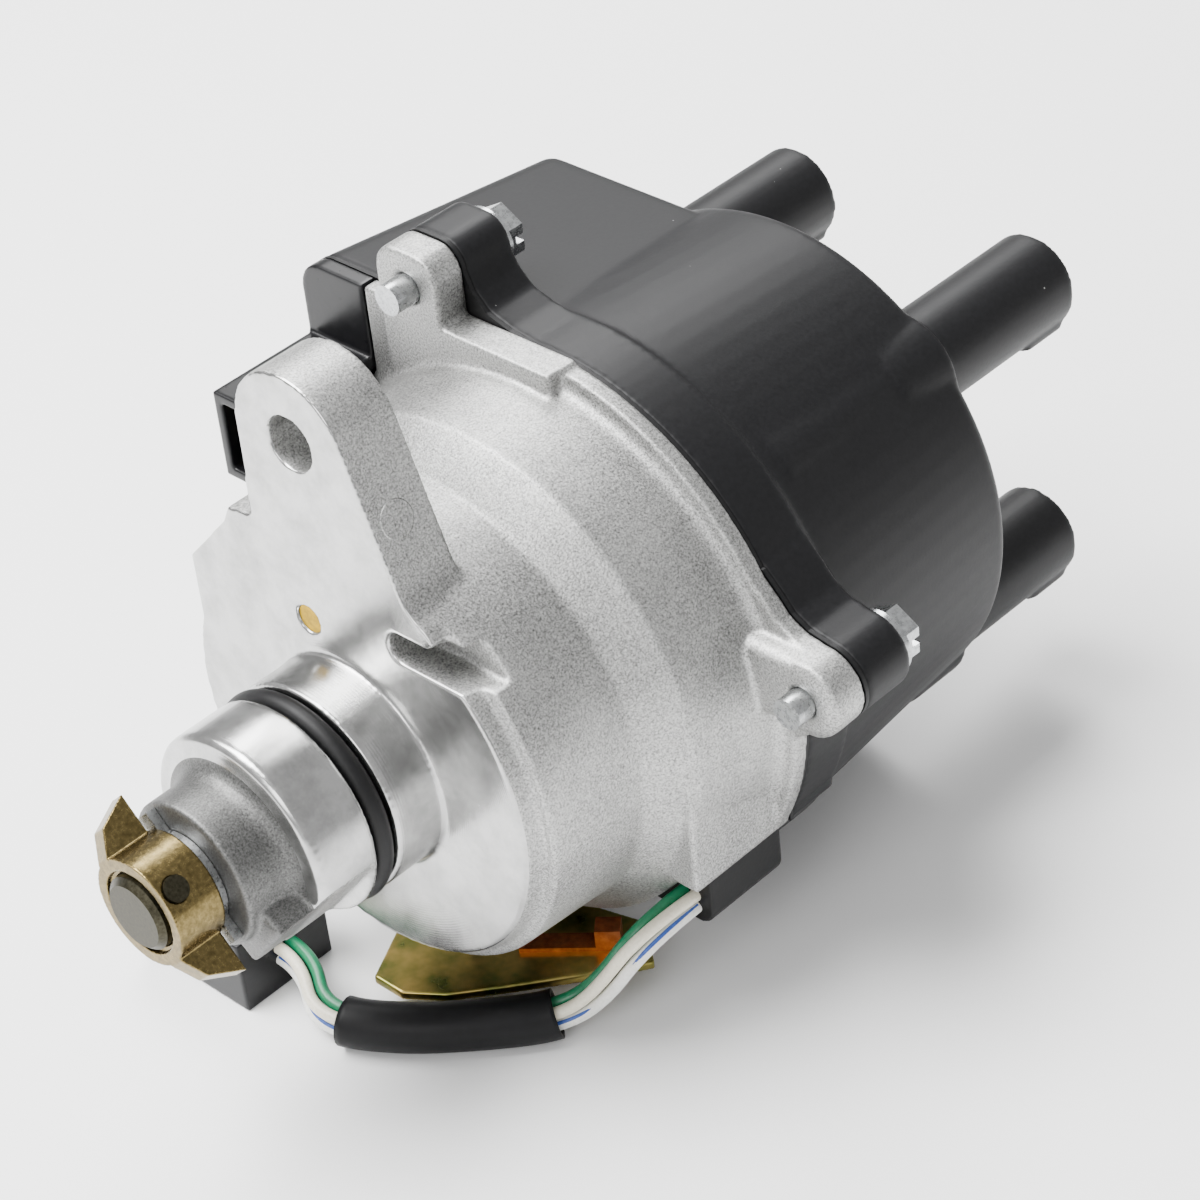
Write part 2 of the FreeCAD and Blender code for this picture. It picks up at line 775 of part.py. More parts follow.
bracket_hole = cross_rod(
    "BracketHole", "bracket_screw_radius + seat_gap", "9.5",
    "bracket_boss_x", "bracket_boss_y", "bracket_top - 1", "Z")
flange_holes = [
    rod("FlangeHole%d" % index, "cap_screw_radius + seat_gap", "side_ear_back - 1", "joint_plane + 1", y, z)
    for index, (y, z) in enumerate(SCREWS)
]
housing = cut("Housing", joined("HousingWithBosses", [housing_shell] + plate_bosses), [
    lug_hole, pocket, pocket_end, witness_hole, drain_recess, bracket_hole,
] + plate_screw_holes + flange_holes)
node("housing", housing)

witness_plug = rod(
    "WitnessPlug", "witness_radius", "0.4", "witness_depth", "witness_across", "witness_height")
node("witness_plug", witness_plug)

ring = document.addObject("Part::Torus", "SpigotRing")
ring.Placement.Rotation = FreeCAD.Rotation(FreeCAD.Vector(0, 1, 0), 90)
bind(ring, {
    "Radius1": "ring_groove_radius + ring_section_radius",
    "Radius2": "ring_section_radius",
    "Placement.Base.x": "(ring_groove_start + ring_groove_end) / 2",
})
node("spigot_o_ring", ring)


def sleeve(name, outer, inner, start, end, y=0, z=0):
    """Plain tube along X, at the shaft's axis unless placed elsewhere."""
    hole = rod(name + "Bore", inner, "(%s) - 1" % start, "(%s) + 1" % end, y, z)
    return cut(name, rod(name + "Outside", outer, start, end, y, z), [hole])


# Bearings and seal

node("lower_bush", sleeve(
    "LowerBush", "bush_radius - seat_gap", "shaft_radius + running_gap", "bush_start", "bush_start + bush_length"))
node("oil_seal", sleeve(
    "OilSeal", "seal_radius - seat_gap", "shaft_radius + running_gap", "seal_start", "bearing_start"))
node("bearing_outer_ring", sleeve(
    "BearingOuterRing", "bearing_radius - seat_gap", "bearing_radius - 2.6", "bearing_start", BEARING_END))
node("bearing_inner_ring", sleeve(
    "BearingInnerRing", "bearing_inner_ring", "shaft_radius + seat_gap", "bearing_start + 0.1", BEARING_END))
shields = [
    sleeve("BearingShield%s" % side, "bearing_radius - 2.6 - seat_gap", "bearing_inner_ring + ring_gap", low, high)
    for side, low, high in (
        ("Front", "bearing_start + 0.3", "bearing_start + 1.1"),
        ("Back", BEARING_END + " - 1.1", BEARING_END + " - 0.3"),
    )
]
node("bearing_shields", grouped("BearingShields", shields))
circlip_gap = block(
    "CirclipGap", (BEARING_END + " - 1", BEARING_END + " + circlip_width + 1"),
    ("-3", "3"), ("bearing_radius - 5", "bearing_radius + 4"))
circlip = cut("Circlip", sleeve(
    "CirclipRing", "bearing_radius + circlip_depth - seat_gap", "bearing_radius - 2.2",
    BEARING_END, BEARING_END + " + circlip_width"), [circlip_gap])
node("bearing_circlip", circlip)

# Drive shaft with its collar, its narrow tip and the flat for the rotor arm

shaft_turned = lathe("ShaftTurned", (
    ("shaft_end", "0"),
    ("shaft_end", "shaft_radius - shaft_chamfer"),
    ("shaft_end + shaft_chamfer", "shaft_radius"),
    (BEARING_END, "shaft_radius"),
    (BEARING_END, "collar_radius"),
    (BEARING_END + " + collar_width", "collar_radius"),
    (BEARING_END + " + collar_width", "shaft_radius"),
    ("shaft_tip_start", "shaft_radius"),
    ("shaft_tip_start", "shaft_tip_radius"),
    ("shaft_tip_end - shaft_chamfer", "shaft_tip_radius"),
    ("shaft_tip_end", "shaft_tip_radius - shaft_chamfer"),
    ("shaft_tip_end", "0"),
))
COUPLING_BACK = "nose_end - washer_thickness - end_play"
COUPLING_FRONT = COUPLING_BACK + " - coupling_length"
PIN_X = "shaft_end + cross_pin_inset"
ROTOR_PIN_X = "rotor_start + rotor_width - 2.2"
tip_flat = block(
    "TipFlat", ("shaft_tip_start + 2", "shaft_tip_end + 1"), ("-8", "8"), ("shaft_flat", "8"))
pin_hole = turned_about_x(grouped("PinHolePlaced", [cross_rod(
    "PinHole", "cross_pin_radius + seat_gap", "2 * shaft_radius + 2", PIN_X, "-shaft_radius - 1", "0", "Y")]),
    "cross_pin_angle")
rotor_pin_hole = cross_rod(
    "RotorPinHole", "roll_pin_radius + seat_gap", "2 * shaft_radius + 2", ROTOR_PIN_X, "0", "-shaft_radius - 1", "Z")
node("drive_shaft", cut("DriveShaft", shaft_turned, [tip_flat, pin_hole, rotor_pin_hole]))

# Drive coupling: a sintered ring with two thin slanted dogs, each a little beside the axis

coupling_hub = sleeve(
    "CouplingHub", "coupling_radius", "shaft_radius + seat_gap", COUPLING_FRONT, COUPLING_BACK)
dogs = []
for index in (0, 1):
    dog = slab("Dog%d" % index, (
        (COUPLING_FRONT, "shaft_radius + 1.5"),
        (COUPLING_FRONT, "coupling_radius"),
        (COUPLING_FRONT + " + dog_slope_length", "dog_slope_radius"),
        (COUPLING_FRONT + " + dog_length", "dog_reach"),
        (COUPLING_FRONT + " + dog_length", "shaft_radius + 1.5"),
    ), "dog_offset - dog_width / 2", "dog_offset + dog_width / 2")
    dogs.append(turned_about_x(grouped("DogPlaced%d" % index, [dog]), "dog_angle + %d" % (180 * index)))
coupling_recess = rod(
    "CouplingRecess", "coupling_recess_radius", COUPLING_FRONT + " - 1", COUPLING_FRONT + " + coupling_recess_depth")
coupling_pin_hole = turned_about_x(grouped("CouplingPinHolePlaced", [cross_rod(
    "CouplingPinHole", "cross_pin_radius + seat_gap", "2 * coupling_radius + 2",
    PIN_X, "-coupling_radius - 1", "0", "Y")]), "cross_pin_angle")
node("drive_coupling", cut(
    "DriveCoupling", joined("CouplingSolid", [coupling_hub] + dogs),
    [coupling_recess, coupling_pin_hole]))
coupling_pin = turned_about_x(grouped("CouplingPinPlaced", [cross_rod(
    "CouplingPin", "cross_pin_radius", "2 * coupling_radius + 0.8",
    PIN_X, "-coupling_radius - 0.4", "0", "Y")]), "cross_pin_angle")
node("coupling_pin", coupling_pin)

# Thrust washer behind the coupling: its two wings lie behind the dogs

washer_wings = turned_about_x(grouped("WasherWingsPlaced", [block(
    "WasherWings", (COUPLING_BACK, COUPLING_BACK + " + washer_thickness"),
    ("-washer_reach", "washer_reach"), ("-washer_wing / 2", "washer_wing / 2"))]), "dog_angle")
washer_ring = rod("WasherRing", "washer_radius", COUPLING_BACK, COUPLING_BACK + " + washer_thickness")
washer_bore = rod("WasherBore", "shaft_radius + ring_gap", COUPLING_BACK + " - 1", "nose_end + 1")
node("thrust_washer", cut("ThrustWasher", joined("WasherSolid", [washer_ring, washer_wings]), [washer_bore]))

# Signal parts on their plate: toothed rotor, pickup with its core, igniter

PLATE_OUTER = "upper_chamber_radius - moulding_gap"
plate_holes = [rod("PlateHole%d" % angle, "plate_screw_radius + seat_gap", "plate_ledge - 1", PLATE_TOP + " + 1",
                   *polar("boss_circle", angle)) for angle in PLATE_SCREWS]
IGNITER_SCREWS = ("-igniter_width / 2 + 4.5", "igniter_width / 2 - 4.5")
IGNITER_MIDDLE = "(igniter_low + igniter_high) / 2"
igniter_plate_holes = [
    rod("IgniterPlateHole%d" % index, "plate_screw_radius + seat_gap", "plate_ledge - 1", PLATE_TOP + " + 1",
        y, IGNITER_MIDDLE)
    for index, y in enumerate(IGNITER_SCREWS)
]
pickup_plate = cut("PickupPlate", sleeve(
    "PlateRing", PLATE_OUTER, "plate_hole_radius", "plate_ledge", PLATE_TOP), plate_holes + igniter_plate_holes)
node("pickup_plate", pickup_plate)


def pan_head_screw(name, radius, tip, seat, y, z):
    """Screw along X whose round head rests on the seat."""
    head = rod(
        name + "Head", "(%s) * pan_head_ratio" % radius,
        seat, "(%s) + (%s) * pan_head_height" % (seat, radius), y, z)
    return joined(name, [rod(name + "Shank", radius, tip, seat + " + 0.5", y, z), head])


node("plate_screws", grouped("PlateScrews", [
    pan_head_screw("PlateScrew%d" % angle, "plate_screw_radius", "plate_ledge - 8", PLATE_TOP,
                   *polar("boss_circle", angle))
    for angle in PLATE_SCREWS
]))

hub = rod("RotorHub", "rotor_hub_radius", "rotor_start", "rotor_start + rotor_width")
teeth = []
for index in range(4):
    tooth = block(
        "Tooth%d" % index, ("rotor_start", "rotor_start + rotor_width / 2"),
        ("0", "rotor_tooth_radius"), ("-rotor_tooth_width / 2", "rotor_tooth_width / 2"))
    teeth.append(turned_about_x(grouped("ToothPlaced%d" % index, [tooth]), "%d * 360 / tooth_count" % index))
rotor_bore = rod("RotorBore", "shaft_radius + seat_gap", "rotor_start - 1", "rotor_start + rotor_width + 1")
rotor_cross_hole = cross_rod(
    "RotorCrossHole", "roll_pin_radius + seat_gap", "2 * rotor_hub_radius + 2",
    ROTOR_PIN_X, "0", "-rotor_hub_radius - 1", "Z")
node("signal_rotor", cut("SignalRotor", joined("RotorSolid", [hub] + teeth), [rotor_bore, rotor_cross_hole]))
node("rotor_pin", cross_rod(
    "RotorPin", "roll_pin_radius", "2 * rotor_hub_radius", ROTOR_PIN_X, "0", "-rotor_hub_radius", "Z"))

core_half = "pickup_core_size / 2"
CORE_LOW = "rotor_tooth_radius + pickup_gap"
CORE_X = ("rotor_start - 0.5", "rotor_start + pickup_core_size - 0.5")
core_bar = block("CoreBar", CORE_X, ("-" + core_half, core_half), (CORE_LOW, CORE_LOW + " + 17"))
core_foot = block(
    "CoreFoot", (PLATE_TOP, CORE_X[1]), ("-" + core_half, core_half),
    (CORE_LOW + " + pickup_coil_length + 3", CORE_LOW + " + 17"))
pickup_core = joined("PickupCore", [core_bar, core_foot])
node("pickup_core", pickup_core)
coil_z = (CORE_LOW + " + 2", CORE_LOW + " + 2 + pickup_coil_length")
winding = cross_rod(
    "Winding", "pickup_coil_radius", "pickup_coil_length",
    "rotor_start - 0.5 + pickup_core_size / 2", "0", coil_z[0], "Z")
winding_hole = block(
    "WindingHole", ("rotor_start - 0.5 - seat_gap", "rotor_start + pickup_core_size - 0.5 + seat_gap"),
    ("-pickup_core_size / 2 - seat_gap", "pickup_core_size / 2 + seat_gap"), (coil_z[0] + " - 1", coil_z[1] + " + 1"))
winding_floor = block(
    "WindingFloor", ("plate_ledge - 9", PLATE_TOP), ("-pickup_coil_radius", "pickup_coil_radius"),
    (coil_z[0] + " - 1", coil_z[1] + " + 1"))
node("pickup_coil", cut("PickupCoil", winding, [winding_hole, winding_floor]))

igniter_body = block(
    "IgniterBody", (PLATE_TOP, PLATE_TOP + " + igniter_thickness"),
    ("-igniter_width / 2", "igniter_width / 2"), ("igniter_low", "igniter_high"))
IGNITER_SEAT = PLATE_TOP + " + 3"
igniter_cuts = []
for index, y in enumerate(IGNITER_SCREWS):
    igniter_cuts.append(rod(
        "IgniterHole%d" % index, "plate_screw_radius + seat_gap", PLATE_TOP + " - 1", IGNITER_SEAT + " + 1",
        y, IGNITER_MIDDLE))
    igniter_cuts.append(rod(
        "IgniterWell%d" % index, "plate_screw_radius * pan_head_ratio + 0.2", IGNITER_SEAT,
        PLATE_TOP + " + igniter_thickness + 1", y, IGNITER_MIDDLE))
node("igniter_module", cut("IgniterModule", igniter_body, igniter_cuts))
node("igniter_screws", grouped("IgniterScrews", [
    pan_head_screw("IgniterScrew%d" % index, "plate_screw_radius", "plate_ledge - 3", IGNITER_SEAT, y, IGNITER_MIDDLE)
    for index, y in enumerate(IGNITER_SCREWS)
]))

shield_notch = block(
    "ShieldNotch", ("shield_ledge - 1", "joint_plane"),
    ("grommet_side - 9", "grommet_inner + moulding_gap"), ("grommet_bottom - 9", "grommet_top + moulding_gap"))
node("dust_shield", cut("DustShield", sleeve(
    "ShieldDisc", "shield_radius - moulding_gap", "shield_hole_radius",
    "shield_ledge", "shield_ledge + shield_thickness"), [shield_notch]))

# Cap: moulded cover with four towers and a box for the coil

BOX_INSIDE = "box_side - cap_wall"
BOX_ROOF = "box_top - cap_wall"


def box_form(name, side, top, bottom, start, end, corner, end_round):
    """Coil box: roof that falls towards its end, rounded outer edge and rounded end."""
    body = padded(name, "XZ_Plane", (
        (start, bottom),
        (start, top),
        (end, "(%s) - box_drop" % top),
        (end, bottom),
    ), "-(%s)" % side, "0")
    roof_end = number("(%s) - box_drop" % top) - 0.01
    outer = number(side) - 0.01
    back = number(end)

    def on_side(edge):
        return len(edge.Vertexes) == 2 and all(
            vertex.Z > roof_end and vertex.Y > outer for vertex in edge.Vertexes)

    def on_end(edge):
        middle = edge.CenterOfMass
        return abs(middle.x - back) < 0.01 and middle.z > 0 and (middle.z > roof_end or middle.y > outer)
    round_edges(body, corner, on_side, name + "Corner")
    round_edges(body, end_round, on_end, name + "EndRound")
    return body


CAP_BAND = "cap_radius + cap_band_step"
cap_turned = lathe("CapTurned", (
    (CAP_START, "0"),
    (CAP_START, CAP_BAND),
    ("band_end", CAP_BAND),
    ("band_end", "cap_radius"),
    ("cap_end", "cap_end_radius"),
    ("cap_end", "0"),
))
round_edges(cap_turned, "cap_edge_round", ring_at("cap_end", "cap_end_radius"), "CapEdge")
cap_hollow = lathe("CapHollow", (
    (CAP_START + " - 1", "0"),
    (CAP_START + " - 1", "cap_radius - cap_wall - 1"),
    ("band_end", "cap_radius - cap_wall - 1"),
    ("cap_end - cap_wall", "cap_end_radius - cap_wall - 0.5"),
    ("cap_end - cap_wall", "0"),
))
cap_box = box_form(
    "CapBox", "box_side", "box_top", "box_bottom", CAP_START, "box_end", "box_corner", "box_end_round")
box_hollow = box_form(
    "BoxHollow", BOX_INSIDE, BOX_ROOF, "box_bottom + cap_wall", CAP_START + " - 1", "box_end - cap_wall",
    "box_corner - cap_wall", "1")
towers = []
tower_bosses = []
tower_holes = []
electrodes = []
for index, turn in enumerate(TOWER_TURNS):
    y, z = polar("tower_circle", "tower_angle + %d" % turn)
    rib_y, rib_z = polar("tower_rib_reach", "tower_rib_angle")
    towers += [
        rod("Tower%d" % index, "tower_radius", "tower_root_end", "tower_end", y, z),
        rod("TowerCollar%d" % index, "tower_collar_radius", "tower_root_end", "cap_end", y, z),
        cone("TowerRoot%d" % index, "tower_root_radius", "tower_neck_radius",
             "tower_root_start", "tower_root_end", y, z),
        rod("TowerRib%d" % index, "tower_rib_radius", "tower_rib_start", "tower_end - 1",
            "%s + %s" % (y, rib_y), "%s + %s" % (z, rib_z)),
    ]
    tower_bosses.append(rod(
        "TowerBoss%d" % index, "tower_inner_boss", "tower_inner_start", "cap_end - cap_wall / 2", y, z))
    tower_holes.append(rod(
        "TowerSocket%d" % index, "socket_radius", "tower_end - socket_depth", "tower_end + 1", y, z))
    tower_holes.append(rod(
        "ElectrodeHole%d" % index, "electrode_radius + seat_gap", "tower_inner_start - 1",
        "tower_end - socket_depth + 1", y, z))
    electrodes.append(rod(
        "Electrode%d" % index, "electrode_radius", "electrode_start", "tower_end - socket_depth", y, z))
cap_solid = joined(
    "CapSolid", [cap_turned, cap_box] + towers
    + flange_pieces("Cap", CAP_START, "band_end", CAP_BAND, CAP_START, UPPER_EAR_WEB))
cap_shell = cut("CapShell", cap_solid, [cap_hollow, box_hollow])
brush_boss = rod("BrushBoss", "brush_boss_radius", "brush_boss_start", "cap_end - cap_wall / 2")
brush_bore = rod("BrushBore", "brush_radius + running_gap", "brush_boss_start - 1", "brush_seat")
cap_screw_holes = [
    rod("CapHole%d" % index, "cap_screw_radius + cap_screw_clearance", "joint_plane", "band_end + 1", y, z)
    for index, (y, z) in enumerate(SCREWS)
]
node("cap", cut(
    "Cap", joined("CapWithBosses", [cap_shell, brush_boss] + tower_bosses),
    tower_holes + [brush_bore] + cap_screw_holes))
node("cap_electrodes", grouped("CapElectrodes", electrodes))

# Gasket between the two castings, open over the round chamber and the coil's box

gasket_box = prism("GasketBox", (
    ("0", "box_bottom"),
    ("box_side", "box_bottom"),
    ("box_side", "box_top"),
    ("0", "box_top"),
), "joint_plane", CAP_START)
round_edges(gasket_box, "box_corner", along_x_at("box_side", "box_top"), "GasketBoxCorner")
gasket_solid = joined("GasketSolid", [gasket_box] + flange_pieces(
    "Gasket", "joint_plane", CAP_START, CAP_BAND, "joint_plane", UPPER_EAR_WEB))
gasket_opening = rod("GasketOpening", "cap_radius - gasket_band", "joint_plane - 1", CAP_START + " + 1")
gasket_box_opening = block(
    "GasketBoxOpening", ("joint_plane - 1", CAP_START + " + 1"),
    ("0", BOX_INSIDE), ("box_bottom + cap_wall", BOX_ROOF))
gasket_holes = [
    rod("GasketHole%d" % index, "cap_screw_radius + cap_screw_clearance", "joint_plane - 1", CAP_START + " + 1", y, z)
    for index, (y, z) in enumerate(SCREWS)
]
node("cap_gasket", cut("CapGasket", gasket_solid, [gasket_opening, gasket_box_opening] + gasket_holes))

# Cap screws: slotted hexagon heads with a washer face

cap_screws = []
for index, (y, z) in enumerate(SCREWS):
    name = "CapScrew%d" % index
    flange = rod(name + "Flange", "screw_flange_radius", "band_end", "band_end + screw_flange", y, z)
    head = hexagon(name + "Hex", "hex_flats", "band_end", "screw_flange + hex_height", y, z)
    shank = rod(name + "Shank", "cap_screw_radius", "cap_screw_tip", "band_end + 0.5", y, z)
    head_end = "band_end + screw_flange + hex_height"
    slot = block(
        name + "Slot", (head_end + " - slot_depth", head_end + " + 1"),
        ("(%s) - hex_flats" % y, "(%s) + hex_flats" % y),
        ("(%s) - slot_width / 2" % z, "(%s) + slot_width / 2" % z))
    cap_screws.append(cut(name, joined(name + "Solid", [flange, head, shank]), [slot]))
node("cap_screws", grouped("CapScrews", cap_screws))

# Coil in the box's corner, clear of the rotor arm's sweep

COIL_SIDE = BOX_INSIDE + " - coil_gap"
COIL_ROOF = BOX_ROOF + " - box_drop - coil_gap"
coil_block = prism("CoilBlock", (
    ("coil_low_y", "coil_low_z"),
    (COIL_SIDE, "coil_low_z"),
    (COIL_SIDE, COIL_ROOF),
    ("coil_low_y", COIL_ROOF),
), "joint_plane", "coil_end")
round_edges(coil_block, "box_corner - cap_wall", along_x_at(COIL_SIDE, COIL_ROOF), "CoilCorner")
coil_bay = rod("CoilBay", "coil_bay_radius", "joint_plane - 1", "coil_end + 1")
core_y = (COIL_SIDE + " - core_width", COIL_SIDE)
core_z = (COIL_ROOF + " - core_width - 4", COIL_ROOF + " - 4")
CORE_SPAN = ("joint_plane", "coil_end + 3")
core_slot = block("CoreSlot", ("joint_plane - 1", "coil_end + 4"), (core_y[0], core_y[1] + " + 9"), core_z)
node("ignition_coil", cut("IgnitionCoil", coil_block, [coil_bay, core_slot]))
node("coil_core", block(
    "CoilCore", CORE_SPAN, (core_y[0] + " + seat_gap", core_y[1]),
    (core_z[0] + " + seat_gap", core_z[1] + " - seat_gap")))

# Side connector: moulded base under the coil's box, with a two-pin socket towards the face

SOCKET_Y_HIGH = "box_side - 0.5"
BASE_OUTER = prism("BaseOutside", (
    ("corner_y + moulding_gap", "box_bottom"),
    ("box_side", "box_bottom"),
    ("box_side", "box_top"),
    ("corner_y + moulding_gap", "box_top"),
), "flange_back", "joint_plane")
round_edges(BASE_OUTER, "box_corner", along_x_at("box_side", "box_top"), "BaseCorner")
shroud = block(
    "Shroud", ("socket_front", "flange_back"), ("socket_y_low", SOCKET_Y_HIGH), ("socket_z_low", "socket_z_high"))
flange_room = rod("FlangeRoom", "flange_radius + moulding_gap", "flange_back - moulding_gap", "joint_plane + 1")
bell_room = rod(
    "BellRoom", "bell_radius + bell_draft + moulding_gap", "socket_front - 1", "flange_back + 1")
blend_room = cone(
    "BlendRoom", "bell_radius + bell_draft + moulding_gap", "bell_radius + bell_draft + flange_blend + moulding_gap",
    "flange_back - flange_blend - moulding_gap", "flange_back")
socket_room = block(
    "SocketRoom", ("socket_front - 1", "socket_floor"), ("socket_inner_y", SOCKET_Y_HIGH + " - socket_wall"),
    ("socket_z_low + socket_wall", "socket_z_high - socket_wall"))
SIDE_PINS = ("socket_z_low + socket_wall + 3.5", "socket_z_high - socket_wall - 3.5")
SIDE_PIN_Y = "(socket_inner_y + box_side - 0.5 - socket_wall) / 2"


def side_pin(name, gap, start, end, z):
    half = "pin_half + %s" % gap
    y_range = ("%s - (%s)" % (SIDE_PIN_Y, half), "%s + %s" % (SIDE_PIN_Y, half))
    return block(name, (start, end), y_range, ("%s - 1 - %s" % (z, gap), "%s + 1 + %s" % (z, gap)))


side_pins = [
    side_pin("SidePin%d" % index, "0", "socket_front + 4", "joint_plane", z) for index, z in enumerate(SIDE_PINS)
]
side_pin_slots = [
    side_pin("SidePinSlot%d" % index, "seat_gap", "socket_floor - 1", "joint_plane + 1", z)
    for index, z in enumerate(SIDE_PINS)
]
node("side_connector", cut(
    "SideConnector", joined("SideSolid", [BASE_OUTER, shroud]),
    [flange_room, bell_room, blend_room, socket_room] + side_pin_slots))
node("side_terminals", grouped("SideTerminals", side_pins))

# Rotor arm on the shaft's tip, with its blade and locking screw

ARM_BODY_START = "arm_top - 7"
arm_hub = rod("ArmHub", "arm_hub_radius", "arm_start", "arm_top")
arm_bar = block(
    "ArmBar", (ARM_BODY_START, "arm_top"), ("0", "arm_reach"), ("-arm_width / 2", "arm_width / 2"))
arm_tail = block(
    "ArmTail", (ARM_BODY_START, "arm_top"), ("-arm_hub_radius - 6", "0"), ("-arm_width / 2", "arm_width / 2"))
arm_rib = prism("ArmRib", (
    ("0", "-1.5"),
    ("arm_reach - 4", "-1.5"),
    ("arm_reach - 4", "1.5"),
    ("0", "1.5"),
), "arm_start + 12", ARM_BODY_START + " + 1")
arm_bore = rod("ArmBore", "shaft_tip_radius + seat_gap", "arm_start - 1", "shaft_tip_end")
arm_screw_hole = cross_rod(
    "ArmScrewHole", "plate_screw_radius + seat_gap", "arm_hub_radius + 1", "arm_start + 7", "0", "1", "Z")
blade_y = ("-blade_width / 2", "tower_circle - electrode_radius - spark_gap")
node("rotor_arm", cut(
    "RotorArm", joined("ArmSolid", [arm_hub, arm_bar, arm_tail, arm_rib]), [arm_bore, arm_screw_hole]))
node("rotor_screw", cross_rod(
    "RotorScrew", "plate_screw_radius", "arm_hub_radius - shaft_flat - 0.5", "arm_start + 7", "0", "shaft_flat", "Z"))
blade = block(
    "Blade", ("arm_top", "arm_top + blade_thickness"),
    ("-brush_radius - 2", "tower_circle"), ("-blade_width / 2", "blade_width / 2"))
blade_tip = sleeve(
    "BladeTip", "tower_circle + 9", blade_y[1], "arm_top - 1", "arm_top + blade_thickness + 1")
node("rotor_blade", cut("RotorBlade", blade, [blade_tip]))

# Centre brush, pressed on the blade by its spring

BRUSH_TIP = "arm_top + blade_thickness + brush_gap"
node("carbon_brush", rod("CarbonBrush", "brush_radius", BRUSH_TIP, BRUSH_TIP + " + brush_length"))
node("brush_spring", sleeve(
    "BrushSpring", "brush_radius - 0.3", "brush_radius - 0.3 - spring_wall",
    BRUSH_TIP + " + brush_length", "brush_seat"))

# Wire grommet: rubber block in the housing's outlet

node("wire_grommet", outlet_form("Grommet", "joint_plane"))

# Harness: four wires leave the grommet, pass a sleeve and end in the plug.
# Each route is a list of points; the corners are rounded by tangent arcs.

SLEEVE_HEIGHT = number("floor + sleeve_radius")
LOW_ROUTE = [FreeCAD.Vector(x, y, SLEEVE_HEIGHT) for x, y in ((10.8, -24.4), (3.8, -18.4), (-6.6, -7.1), (-12.4, 4.6))]
SLEEVE_LAST_RUN = 0.7
SLEEVE_ROUTE = LOW_ROUTE[:-1] + [LOW_ROUTE[-2] + (LOW_ROUTE[-1] - LOW_ROUTE[-2]) * SLEEVE_LAST_RUN]
PLUG_MIDDLE_X = "plug_low_x + plug_width / 2"
PLUG_MIDDLE_Z = "floor + plug_height / 2"
WIRES = (
    ("green_wire", -1, 1),
    ("white_wire", 1, 1),
    ("striped_wire", 1, -1),
    ("black_wire", -1, -1),
)


def run_length(a, b):
    return a.distanceToPoint(b)


def rounded_path(points):
    """Straight runs joined by tangent arcs, each as large as its two runs allow."""
    edges = []
    radii = []
    here = points[0]
    for before, corner, after in zip(points, points[1:], points[2:]):
        back = (before - corner).normalize()
        forth = (after - corner).normalize()
        turn = math.pi - back.getAngle(forth)
        reach = 0.45 * min(run_length(before, corner), run_length(corner, after))
        radius = reach / math.tan(turn / 2)
        radii.append(radius)
        start = corner + back * reach
        end = corner + forth * reach
        bisector = (back + forth).normalize()
        middle = corner + bisector * (radius / math.cos(turn / 2) - radius)
        edges.append(Part.LineSegment(here, start).toShape())
        edges.append(Part.Arc(start, middle, end).toShape())
        here = end
    edges.append(Part.LineSegment(here, points[-1]).toShape())
    return Part.Wire(edges), radii


def swept(points, radius):
    """Round bar along a rounded route."""
    path, radii = rounded_path(points)
    direction = points[1] - points[0]
    section = Part.Wire([Part.makeCircle(radius, points[0], direction)])
    solid = path.makePipeShell([section], True, False)
    return solid, radii, path.Length


def cord(name, shape):
    thing = document.addObject("Part::Feature", name)
    thing.Shape = shape
    return thing


def beside(route, sideways, upward):
    """The route moved to one side and up, so that a wire keeps its place in the bundle."""
    moved = []
    for index, point in enumerate(route):
        neighbours = route[max(index - 1, 0):index + 2]
        runs = [(after - before).normalize() for before, after in zip(neighbours, neighbours[1:])]
        offsets = []
        for run in runs:
            side = FreeCAD.Vector(-run.y, run.x, 0).normalize()
            offsets.append(side * sideways + run.cross(side) * upward)
        total = offsets[0] + offsets[-1]
        share = offsets[0].dot(offsets[-1]) / offsets[0].dot(offsets[0])
        moved.append(point + total * (1 / (1 + share)))
    return moved


grommet_face = FreeCAD.Vector(number("grommet_start"), number("wire_exit_y"), number("wire_exit_z"))
plug_face = FreeCAD.Vector(number(PLUG_MIDDLE_X), number("plug_front"), number(PLUG_MIDDLE_Z))
harness_route = [grommet_face, grommet_face + FreeCAD.Vector(-11, 0, 0), FreeCAD.Vector(15.7, -28.6, -42.6)]
harness_route += LOW_ROUTE + [plug_face + FreeCAD.Vector(0, -5.5, 0), plug_face]
half_pitch = number("wire_pitch / 2")
for name, sideways, upward in WIRES:
    wire_route = beside(harness_route, sideways * half_pitch, upward * half_pitch)
    solid, radii, length = swept(wire_route, number("wire_radius"))
    print(name, "length", round(length, 1), "radii", [round(radius, 1) for radius in radii])
    node(name, cord(name.title().replace("_", ""), solid))

sleeve_outside, radii, length = swept(SLEEVE_ROUTE, number("sleeve_radius"))
sleeve_inside = swept(SLEEVE_ROUTE, number("sleeve_bore"))[0]
print("harness_sleeve length", round(length, 1), "radii", [round(radius, 1) for radius in radii])
node("harness_sleeve", cord("HarnessSleeve", sleeve_outside.cut(sleeve_inside)))

# Plug at the end of the harness, with its latch on top and a terminal for each wire

